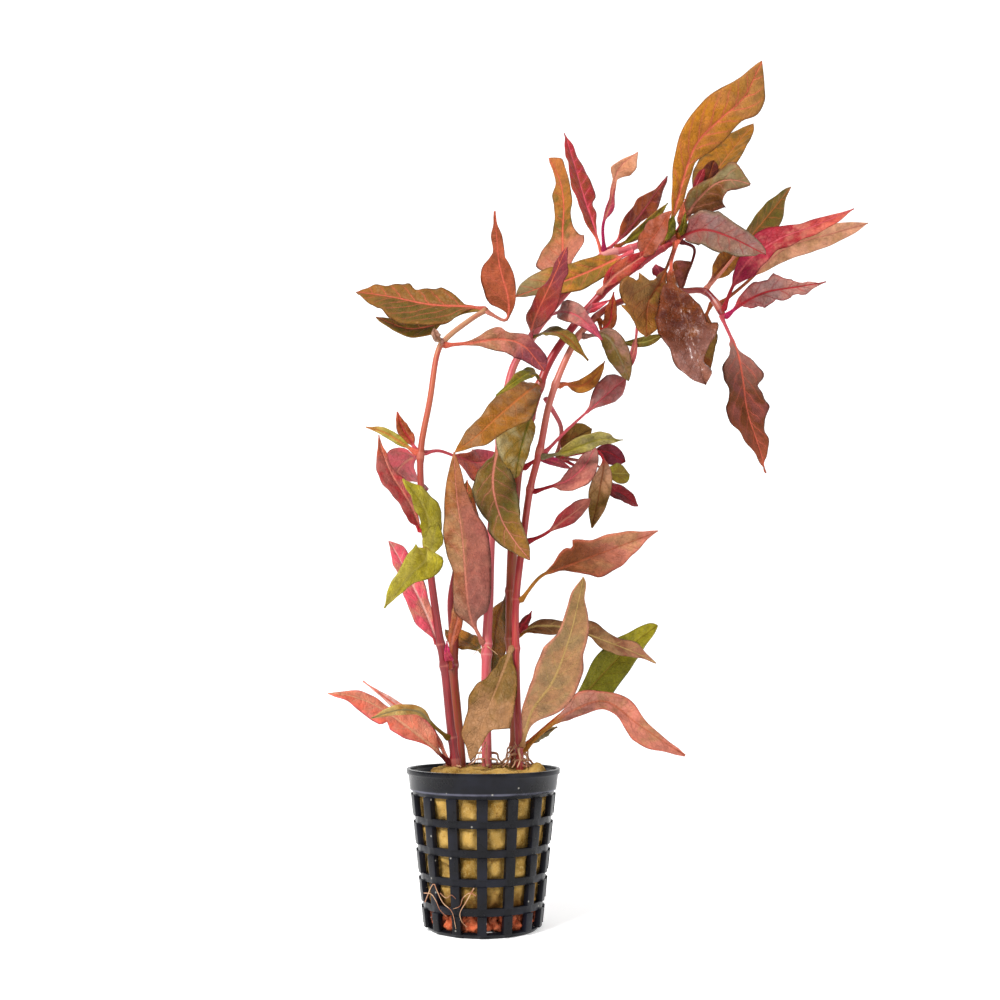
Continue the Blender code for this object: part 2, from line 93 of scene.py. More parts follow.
# %% The eye and the camera
EYE = Vector((0.0055, -0.370, 0.078))
PITCH = math.radians(9.5)
FOCAL_PX = 1088.0
PICTURE_PX = 1000.0
CENTRE_PX = PICTURE_PX / 2
SENSOR_MM = 36.0


def make_camera():
    lens = bpy.data.cameras.new("front camera")
    lens.sensor_width = SENSOR_MM
    lens.lens = FOCAL_PX / PICTURE_PX * SENSOR_MM
    camera = new_object("front camera", lens)
    camera.location = EYE
    camera.rotation_euler = (math.pi / 2 + PITCH, 0.0, 0.0)
    bpy.context.scene.camera = camera
    return lens.lens


print("focal length in mm:", round(make_camera(), 2))

# %% [markdown]
# ## Floor and light
#
# The plant stands on a white sweep: a floor that bends up into a wall far behind it, so
# that no horizon shows. A white world lights all sides evenly, as a light tent does. One
# large soft lamp at the upper left front gives the leaves a bright side and a soft
# shadow, and a weaker one opposite opens the shadows. The view transform is Standard, so
# that a colour chosen for a leaf arrives on the picture as that colour.

# %% The sweep, the lamps and the world
SWEEP_HALF_WIDTH = 3.0
SWEEP_FRONT = -3.0
SWEEP_BACK = 1.6
SWEEP_TOP = 2.6
SWEEP_RADIUS = 0.6
BEND_STEPS = 16
PAPER = (0.93, 0.93, 0.93, 1.0)
WHITE = (1.0, 1.0, 1.0, 1.0)
PAPER_GLOW = 0.40
WORLD_GLOW = 0.50
LAMP_TARGET = Vector((0.02, 0.0, 0.15))


def sweep_line():
    """The sweep's side view as (y, z): flat floor, quarter round, upright wall."""
    bend = [(SWEEP_BACK - SWEEP_RADIUS + SWEEP_RADIUS * math.sin(a),
             SWEEP_RADIUS - SWEEP_RADIUS * math.cos(a))
            for a in (math.pi / 2 * i / BEND_STEPS for i in range(BEND_STEPS + 1))]
    return [(SWEEP_FRONT, 0.0)] + bend + [(SWEEP_BACK, SWEEP_TOP)]


def make_sweep():
    line = sweep_line()
    places = [(x, y, z) for x in (-SWEEP_HALF_WIDTH, SWEEP_HALF_WIDTH) for y, z in line]
    count = len(line)
    quads = [(i, i + count, i + count + 1, i + 1) for i in range(count - 1)]
    mesh = bpy.data.meshes.new("white_sweep")
    mesh.from_pydata(places, [], quads)
    mesh.shade_smooth()
    paper, shader = new_material("white paper")
    feed(shader, {"Base Color": PAPER, "Roughness": 0.9, "Emission Color": WHITE,
                  "Emission Strength": PAPER_GLOW})
    mesh.materials.append(paper)
    sweep = new_object("white_sweep", mesh)


def make_lamp(name, place, size, watts):
    data = bpy.data.lights.new(name, "AREA")
    data.shape = "DISK"
    data.size = size
    data.energy = watts
    lamp = new_object(name, data)
    lamp.location = place
    lamp.rotation_euler = (LAMP_TARGET - Vector(place)).to_track_quat("-Z", "Y").to_euler()


def make_world():
    world = bpy.data.worlds.new("light tent")
    world.use_nodes = True
    feed(world.node_tree.nodes["Background"], {"Color": WHITE, "Strength": WORLD_GLOW})
    bpy.context.scene.world = world


make_sweep()
make_world()
make_lamp("key softbox", (-0.55, -0.75, 0.85), 0.40, 19.0)
make_lamp("fill softbox", (0.9, -0.6, 0.35), 0.8, 3.0)
bpy.context.scene.view_settings.view_transform = "Standard"

# %% [markdown]
# ## Paths through the air
#
# A stem or a midrib is a smooth curve through a few spots of the picture, each with a
# depth. A Catmull-Rom curve passes through all of its points, which a Bezier curve with
# automatic handles would do too, but here the places are needed as plain vectors, to set
# the rings of a skin on them.


# %% Spots and curves
def spot(px, py, depth):
    """The place where the sight line through a picture spot meets the plane Y = depth."""
    forward = Vector((0.0, math.cos(PITCH), math.sin(PITCH)))
    upward = Vector((0.0, -math.sin(PITCH), math.cos(PITCH)))
    across = Vector((1.0, 0.0, 0.0))
    ray = (forward + across * ((px - CENTRE_PX) / FOCAL_PX)
           + upward * ((CENTRE_PX - py) / FOCAL_PX))
    return EYE + ray * ((depth - EYE.y) / ray.y)


CURVE_STEPS = 12


def smooth_path(points, count):
    """Evenly spaced places along a Catmull-Rom curve through the points."""
    ends = [points[0] * 2 - points[1]] + points + [points[-1] * 2 - points[-2]]
    fine = []
    for a, b, c, d in zip(ends, ends[1:], ends[2:], ends[3:]):
        for step in range(CURVE_STEPS):
            t = step / CURVE_STEPS
            fine.append(0.5 * (2 * b + (c - a) * t + (2 * a - 5 * b + 4 * c - d) * t ** 2
                               + (3 * b - 3 * c + d - a) * t ** 3))
    fine.append(points[-1])
    run = [0.0]
    for a, b in zip(fine, fine[1:]):
        run.append(run[-1] + (b - a).length)
    places = []
    segment = 0
    for index in range(count):
        goal = run[-1] * index / (count - 1)
        while segment < len(run) - 2 and run[segment + 1] < goal:
            segment += 1
        share = (goal - run[segment]) / (run[segment + 1] - run[segment])
        places.append(fine[segment].lerp(fine[segment + 1], min(max(share, 0.0), 1.0)))
    return places


def places_of(spots):
    """The places of picture spots that each have a depth in mm."""
    return [spot(px, py, depth * MM) for px, py, depth in spots]


def path_length(places):
    return sum((b - a).length for a, b in zip(places, places[1:]))


def bump(distance, spread):
    """A smooth hill: 1 at no distance, near 0 past two spreads."""
    return math.exp(-(distance / spread) ** 2)


def ease(value, low, high):
    """0 below low, 1 above high, smooth between them."""
    t = min(max((value - low) / (high - low), 0.0), 1.0)
    return t * t * (3 - 2 * t)


# %% [markdown]
# ## A skin of rings
#
# Leaves, stems and roots are all long bodies whose section changes from end to end. Each
# is made as a row of closed rings with the same number of corners, joined by quads and
# closed at both ends. The maker of the rings also hands over numbers for each corner,
# such as how far along the leaf it lies, which the materials read as attributes.


# %% The skin maker
def skin(name, rings, marks, material):
    """A closed mesh over rings of places; marks maps an attribute's name to its vectors."""
    sides = len(rings[0])
    places = [place for ring in rings for place in ring]
    quads = []
    for row in range(len(rings) - 1):
        first = row * sides
        for side in range(sides):
            after = (side + 1) % sides
            quads.append((first + side, first + after, first + after + sides,
                          first + side + sides))
    quads.append(tuple(range(sides)))
    quads.append(tuple(range(len(places) - sides, len(places))))
    mesh = bpy.data.meshes.new(name)
    mesh.from_pydata(places, [], quads)
    for label, values in marks.items():
        attribute = mesh.attributes.new(label, "FLOAT_VECTOR", "POINT")
        attribute.data.foreach_set("vector", np.array(values, np.float32).ravel())
    check = bmesh.new()
    check.from_mesh(mesh)
    bmesh.ops.recalc_face_normals(check, faces=check.faces[:])
    check.to_mesh(mesh)
    check.free()
    mesh.shade_smooth()
    mesh.materials.append(material)
    return new_object(name, mesh)


def settle(piece, slot, *nodes):
    """The piece moves with the plant and replaces its nodes; the slot is not used."""
    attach(piece, "root")
    if nodes:
        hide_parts(*nodes)
    return piece


# %% [markdown]
# ## The plant's courses
#
# Five stems stand in the wool, and a side shoot grows from the main one. Each stem has a
# radius at its foot and at its tip in mm, and spots in the picture with a depth in mm.
# Each leaf names its stem, the spots of its midrib, its depth in the middle and at the
# tip in mm, and its turn in degrees about the midrib. A leaf without an outline of its own
# also has its half widths left and right in mm, the share of its length that is stalk, and
# where it is widest. The solids were made from the same values, so the pieces land on them.

# %% Stems
WOOL_TOP = 0.0508
SOCKET_DEPTH = 0.0085
COLLAR_RISE = 0.001

STEMS = {
    "stem_left": (1.45, 0.9, [(455, 775, -4), (450, 720, -5), (445, 672, -6), (437, 620, -7),
        (430, 568, -8), (422, 500, -9), (421, 450, -10), (430, 400, -10), (437, 355, -10),
        (447, 338, -10), (470, 320, -9), (486, 310, -8)]),
    "stem_left_back": (2.1, 1.4, [(460, 775, 5), (456, 710, 5), (453, 672, 5), (454, 640, 5),
        (452, 600, 5), (458, 565, 5)]),
    "stem_middle": (1.7, 1.2, [(487, 775, 0), (486, 700, 0), (487, 640, 0), (489, 600, 1),
        (491, 540, 3), (497, 470, 5), (504, 410, 6), (513, 368, 6), (530, 340, 6), (555, 306, 6),
        (578, 280, 6), (601, 257, 6), (628, 249, 7), (652, 240, 8)]),
    "stem_main": (2.0, 1.2, [(516, 775, 3), (515, 700, 3), (511, 640, 3), (512, 560, 2),
        (517, 480, 1), (525, 438, 0), (537, 395, 0), (547, 367, 0), (562, 342, 0), (585, 312, 0),
        (607, 289, 0), (635, 268, 0), (660, 250, 0), (679, 237, 0)]),
    "stem_slender": (1.25, 1.1, [(520, 775, -6), (517, 700, -6), (516, 650, -6), (516, 600, -6),
        (523, 540, -6), (530, 490, -6), (540, 450, -6), (549, 405, -7), (562, 368, -7),
        (578, 337, -6), (592, 321, -6), (606, 309, -5), (622, 301, -3), (642, 295, -1),
        (664, 291, 1), (684, 291, 3), (704, 291, 3), (716, 303, 1), (724, 318, 0)]),
    "side_shoot": (0.9, 0.7, [(545, 398, 3), (553, 411, 6), (561, 427, 8), (560, 443, 9),
        (556, 456, 9)]),
}

STEM_STEP = 0.0018


def stem_course(name):
    """The stem's centre line with its radii, from its foot inside the wool upwards."""
    foot_radius, tip_radius, spots = STEMS[name]
    points = places_of(spots)
    if name != "side_shoot":
        points[0].z = WOOL_TOP - SOCKET_DEPTH
        collar = points[0].copy()
        collar.z = WOOL_TOP + COLLAR_RISE
        points.insert(1, collar)
    count = round(path_length(points) / STEM_STEP) + 1
    places = smooth_path(points, count)
    radii = [(foot_radius + (tip_radius - foot_radius) * i / (count - 1)) * MM
             for i in range(count)]
    return places, radii


COURSES = {name: stem_course(name) for name in STEMS}
for name, (places, radii) in COURSES.items():
    print(name, "is", round(path_length(places) / MM), "mm long")


# %% Leaves
LEAVES = {
    "leaf_left_top": ("stem_left", [(486, 310), (468, 307), (430, 305), (390, 297), (356, 292)], 2,
        16, 20),
    "leaf_left_upright": ("stem_left", [(488, 311), (506, 320), (509, 300), (500, 266), (497, 236),
        (495, 211)], -14, -24, -35),
    "leaf_left_salmon": ("stem_left", [(446, 346), (470, 343), (500, 339), (524, 346), (545, 371)],
        -18, -24, 25),
    "leaf_pair_red": ("stem_middle", [(530, 338), (537, 315), (552, 282), (567, 247)], -10, -20,
        -40),
    "leaf_long_olive": ("stem_middle", [(630, 250), (600, 267), (566, 281), (538, 289), (516, 297)],
        1, -4, 15),
    "leaf_crimson_upright": ("stem_middle", [(603, 254), (593, 226), (583, 196), (574, 165),
        (564, 133)], 16, 30, 40),
    "leaf_tall_orange": ("stem_middle", [(573, 286), (564, 262), (563, 235), (564, 205), (560, 180),
        (549, 158)], 18, 30, -35),
    "leaf_pink_flag": ("stem_middle", [(606, 255), (603, 226), (609, 206), (613, 186), (620, 167),
        (638, 152)], -4, -14, 15),
    "leaf_brown_red": ("stem_middle", [(610, 254), (628, 230), (647, 205), (667, 176)], 16, 30, 40),
    "leaf_terracotta": ("stem_main", [(638, 266), (648, 246), (660, 229), (671, 211)], -10, -18,
        -35),
    "leaf_top_large": ("stem_main", [(672, 243), (677, 200), (694, 148), (718, 121), (743, 98),
        (762, 61)], -4, -14, 20),
    "leaf_top_behind": ("stem_main", [(680, 239), (702, 192), (728, 156), (753, 124)], 14, 28, -40),
    "leaf_top_curled": ("stem_main", [(680, 238), (692, 207), (712, 186), (730, 180), (750, 184)],
        -13, -22, 20),
    "leaf_mauve_grey": ("stem_main", [(681, 238), (704, 230), (732, 238), (766, 255)], -20, -36,
        25),
    "leaf_right_olive": ("stem_slender", [(706, 290), (725, 268), (750, 237), (773, 209),
        (791, 187)], 16, 28, 40),
    "leaf_right_crimson": ("stem_slender", [(721, 311), (733, 286), (750, 260), (780, 239),
        (815, 226), (854, 209)], -14, -26, -20),
    "leaf_right_peach": ("stem_slender", [(717, 305), (746, 283), (785, 248), (830, 234),
        (868, 223)], 6, 12, 35, (4.6, 4.9), 0.25, 0.6),
    "leaf_right_mauve": ("stem_slender", [(726, 318), (743, 303), (766, 292), (796, 287),
        (826, 282)], -14, -26, 30),
    "leaf_hanging_tip": ("stem_slender", [(725, 320), (736, 350), (742, 378), (747, 412),
        (758, 446), (766, 473)], -10, -14, -30),
    "leaf_glossy_brown": ("stem_main", [(675, 240), (671, 266), (677, 292), (688, 325), (697, 357),
        (706, 385)], -22, -30, 15),
    "leaf_brown_behind": ("stem_slender", [(713, 301), (704, 322), (701, 348), (709, 374)], 8, 10,
        40),
    "leaf_crinkled": ("stem_main", [(673, 242), (669, 262), (660, 282), (648, 303), (646, 336)], -8,
        -16, -20),
    "leaf_dusty_pink": ("stem_middle", [(549, 316), (564, 312), (581, 318), (602, 340)], -15, -22,
        30, (4.2, 3.3), 0.22, 0.52),
    "leaf_green_small": ("stem_middle", [(534, 338), (551, 332), (568, 339), (588, 361)], -12, -16,
        -25, (3.3, 3.1), 0.1, 0.5),
    "leaf_ochre_large": ("stem_main", [(540, 388), (525, 394), (500, 415), (476, 437), (455, 452)],
        -20, -32, 15),
    "leaf_magenta_left": ("stem_left", [(423, 452), (440, 451), (460, 458), (480, 463), (497, 453)],
        2, 16, -20),
    "leaf_dark_hanging": ("stem_middle", [(501, 441), (493, 480), (500, 515), (514, 540),
        (530, 560)], -14, -20, 15),
    "leaf_green_behind": ("stem_main", [(530, 415), (524, 436), (519, 455), (515, 478)], -5, -5,
        -25),
    "leaf_mauve_large": ("stem_middle", [(483, 643), (471, 617), (467, 590), (463, 540), (457, 495),
        (454, 452)], -14, -24, -25),
    "leaf_lime_upper": ("stem_left", [(428, 540), (428, 520), (418, 498), (403, 479)], -18, -26,
        40),
    "leaf_lime_lower": ("stem_left", [(429, 548), (425, 560), (408, 577), (384, 608)], -18, -26,
        -35),
    "leaf_hot_pink": ("stem_left", [(439, 643), (425, 612), (410, 581), (398, 557), (389, 541)], 2,
        12, 35),
    "leaf_purple_left": ("stem_left", [(424, 530), (410, 505), (392, 476), (382, 452), (379, 435)],
        -6, -2, 40),
    "leaf_crimson_left": ("stem_left", [(420, 456), (408, 460), (398, 470), (392, 485)], 4, 15,
        -35),
    "leaf_tan_large": ("stem_slender", [(517, 746), (531, 712), (553, 680), (568, 641), (577, 606),
        (583, 577)], -24, -40, 25),
    "leaf_salmon_brown": ("stem_slender", [(518, 600), (540, 577), (561, 568), (590, 557),
        (622, 545), (658, 531)], -14, -22, 30),
    "leaf_brown_narrow": ("stem_main", [(514, 636), (536, 627), (570, 629), (601, 640), (630, 651),
        (656, 663)], 12, 22, -35),
    "leaf_green_low": ("stem_main", [(519, 747), (548, 725), (580, 698), (605, 671), (630, 646),
        (657, 625)], 16, 34, 35),
    "leaf_pink_low": ("stem_slender", [(521, 749), (545, 730), (575, 710), (606, 702), (640, 726),
        (685, 756)], -10, -20, -25),
    "leaf_tan_low": ("stem_slender", [(513, 648), (500, 680), (488, 710), (476, 740), (470, 761)],
        -14, -16, 20),
    "leaf_olive_low": ("stem_middle", [(484, 652), (465, 641), (445, 630)], 12, 20, 35, (5.3, 3.9),
        0.1, 0.5),
    "leaf_dark_between": ("stem_main", [(509, 592), (498, 620), (494, 655), (492, 690)], 16, 20, 40,
        (6.7, 4.7), 0.1, 0.5),
    "leaf_back_tip": ("stem_left_back", [(458, 567), (462, 545), (466, 515), (467, 480)], 10, 16,
        25, (5.9, 4.8), 0.12, 0.48),
    "leaf_coral_low": ("stem_left", [(452, 762), (432, 747), (407, 727), (376, 706), (350, 696),
        (328, 693)], -14, -22, 25),
    "leaf_mauve_cup": ("stem_slender", [(543, 452), (566, 431), (588, 411), (607, 394), (625, 379)],
        -2, 8, 25),
    "leaf_olive_fold": ("stem_slender", [(582, 336), (606, 336), (619, 355), (629, 381)], -11, -9,
        30),
    "leaf_pale_green": ("stem_slender", [(542, 457), (566, 452), (597, 440), (623, 440)], -14, -24,
        25, (3.4, 2.5), 0.18, 0.52),
    "leaf_salmon_mauve": ("stem_slender", [(532, 491), (549, 487), (568, 481), (584, 467),
        (596, 448)], -8, -8, -30),
    "leaf_olive_hanging": ("side_shoot", [(558, 456), (584, 447), (603, 458), (600, 490),
        (592, 528)], 8, 4, 25, (4.7, 3.8), 0.42, 0.68),
    "leaf_crimson_small": ("stem_slender", [(525, 541), (545, 534), (562, 521), (576, 511),
        (590, 499)], -6, -2, 25, (3.5, 2.9), 0.3, 0.66),
    "leaf_wine": ("side_shoot", [(557, 457), (582, 470), (606, 488), (622, 494), (638, 506)], 18,
        28, -30, (3.6, 4.3), 0.45, 0.72),
}
print("large leaves:", len(LEAVES))

# %% [markdown]
# ## Small leaves
#
# Between the large leaves sit young ones and scraps of old ones. They are too small for
# solids of their own, but without them the bunch looks combed. Their rows read like those
# of the large leaves.

# %% Small leaves
SMALL_LEAVES = {
    "young_olive_upper": ("stem_middle", [(618, 251), (632, 238), (648, 225), (668, 203)], 10, 14,
        20, (2.2, 2.2), 0.1, 0.5),
    "young_terracotta": ("stem_main", [(679, 237), (682, 226), (684, 214), (685, 199)], -4, -6, -20,
        (2.2, 1.8), 0.12, 0.45),
    "young_olive_bud": ("stem_main", [(678, 240), (682, 231), (684, 222), (685, 212)], -7, -9, 15,
        (1.5, 1.5), 0.15, 0.45),
    "young_ochre_behind": ("stem_slender", [(705, 290), (716, 273), (730, 258), (744, 246)], 12, 16,
        30, (5.2, 4.4), 0.25, 0.62),
    "old_grey_hanging": ("stem_main", [(680, 238), (694, 248), (692, 262), (687, 273), (681, 290)],
        8, 8, 8),
    "old_brown_top": ("stem_main", [(680, 236), (694, 208), (706, 184), (714, 161)], 8, 12, 15,
        (3.6, 3.4), 0.45, 0.78),
    "young_red_top": ("stem_main", [(679, 237), (687, 212), (694, 191), (704, 169)], 5, 8, -10,
        (1.6, 1.7), 0.6, 0.84),
    "young_olive_right": ("stem_main", [(664, 247), (665, 238), (669, 227), (674, 215)], -3, -6, 15,
        (2.6, 2.8), 0.1, 0.45),
    "old_crimson_scrap": ("stem_slender", [(668, 291), (664, 282), (660, 273), (655, 265)], 4, 6,
        10, (3.2, 2.6), 0.15, 0.62),
    "young_russet_pair": ("stem_slender", [(592, 314), (602, 330), (610, 322), (612, 308),
        (614, 292)], -10, -14, -20, (2.6, 2.4), 0.2, 0.5),
    "young_red_pair": ("stem_main", [(583, 314), (590, 310), (598, 306), (610, 300)], -12, -14, 10,
        (1.8, 1.8), 0.1, 0.45),
    "old_tan_back": ("stem_left", [(444, 668), (452, 640), (458, 612), (457, 580)], -4, -5, 30,
        (2.6, 2.4), 0.2, 0.55),
    "young_russet_left": ("stem_left", [(421, 451), (410, 440), (402, 428), (397, 412)], -7, -6, 20,
        (2.4, 2.4), 0.15, 0.5),
    "young_yellow_left": ("stem_left", [(420, 453), (402, 443), (384, 432), (366, 427)], -13, -16,
        -20, (1.5, 1.9), 0.12, 0.5),
    "young_dark_middle": ("stem_main", [(513, 638), (519, 631), (525, 622), (532, 611)], -2, -4, 20,
        (1.8, 1.8), 0.15, 0.5),
    "old_pink_low": ("stem_left", [(450, 763), (440, 745), (424, 727), (395, 705), (363, 681)], -6,
        -6, 20, (1.7, 2.0), 0.1, 0.42),
    "old_yellow_low": ("stem_left", [(449, 737), (435, 727), (420, 712), (398, 710), (371, 718)],
        -17, -26, -15, (1.6, 2.0), 0.3, 0.64),
    "young_ochre_curl": ("stem_slender", [(555, 383), (566, 384), (580, 386), (593, 378),
        (605, 361)], -4, -4, 15, (2.4, 2.8), 0.15, 0.48),
    "old_brown_middle": ("side_shoot", [(556, 455), (566, 446), (578, 436), (592, 429)], 5, 5, 10,
        (4.8, 4.0), 0.15, 0.58),
    "young_lime_middle": ("side_shoot", [(557, 457), (590, 463), (612, 473), (629, 474)], 14, 20,
        -10, (4.2, 4.2), 0.6, 0.84),
    "young_maroon_upper": ("side_shoot", [(557, 456), (588, 452), (607, 452), (625, 462)], 22, 27,
        10, (3.4, 4.2), 0.55, 0.8),
    "young_magenta_middle": ("stem_main", [(521, 467), (537, 460), (553, 461), (572, 469)], -2, -1,
        15, (1.5, 1.6), 0.3, 0.6),
    "old_olive_left": ("stem_left", [(486, 310), (462, 313), (439, 324), (408, 329), (376, 317)], 5,
        18, 20),
    "old_olive_strip": ("stem_slender", [(590, 323), (604, 338), (625, 343), (645, 342),
        (663, 335)], -3, -5, 10, (2.0, 1.8), 0.45, 0.75),
    "young_pink_hanging": ("stem_slender", [(640, 296), (638, 318), (636, 338), (633, 355),
        (628, 371)], -4, -7, 10, (1.3, 1.4), 0.5, 0.78),
    "young_magenta_foot": ("stem_left_back", [(453, 667), (449, 660), (447, 651), (447, 641)], -9,
        -10, 10, (1.5, 1.5), 0.1, 0.5),
    "young_lime_between": ("stem_left", [(430, 556), (432, 545), (434, 534), (437, 522)], -11, -13,
        10, (3.6, 3.6), 0.05, 0.45),
    "young_moss_edge": ("stem_main", [(541, 382), (531, 373), (515, 382), (496, 396)], -20, -26, 15,
        (2.6, 2.6), 0.1, 0.45),
    "young_salmon_between": ("stem_main", [(600, 296), (614, 276), (634, 262), (654, 249)], -4, -5,
        10, (3.4, 3.2), 0.1, 0.45),
    "old_grey_curl": ("stem_left", [(444, 344), (440, 341), (436, 336), (434, 328)], -13, -14, 15,
        (1.7, 1.7), 0.1, 0.5),
    "old_bract": ("stem_main", [(523, 749), (532, 741), (543, 733), (557, 727)], 8, 12, 25,
        (1.6, 1.8), 0.2, 0.55),
}
ALL_LEAVES = {**LEAVES, **SMALL_LEAVES}
print("small leaves:", len(SMALL_LEAVES))

# %% [markdown]
# ## Leaf shapes
#
# The large leaves have outlines of their own: torn, notched and lobed, and never the same
# left and right. Each row of an outline is a share of the leaf's length with the left and
# the right half width in mm, and a smooth curve that never overshoots runs through them.
# The first row is where the stalk ends. The other leaves follow one power curve. The
# margin ruffles, the blade arches, twists and crinkles, each by an amount per leaf.

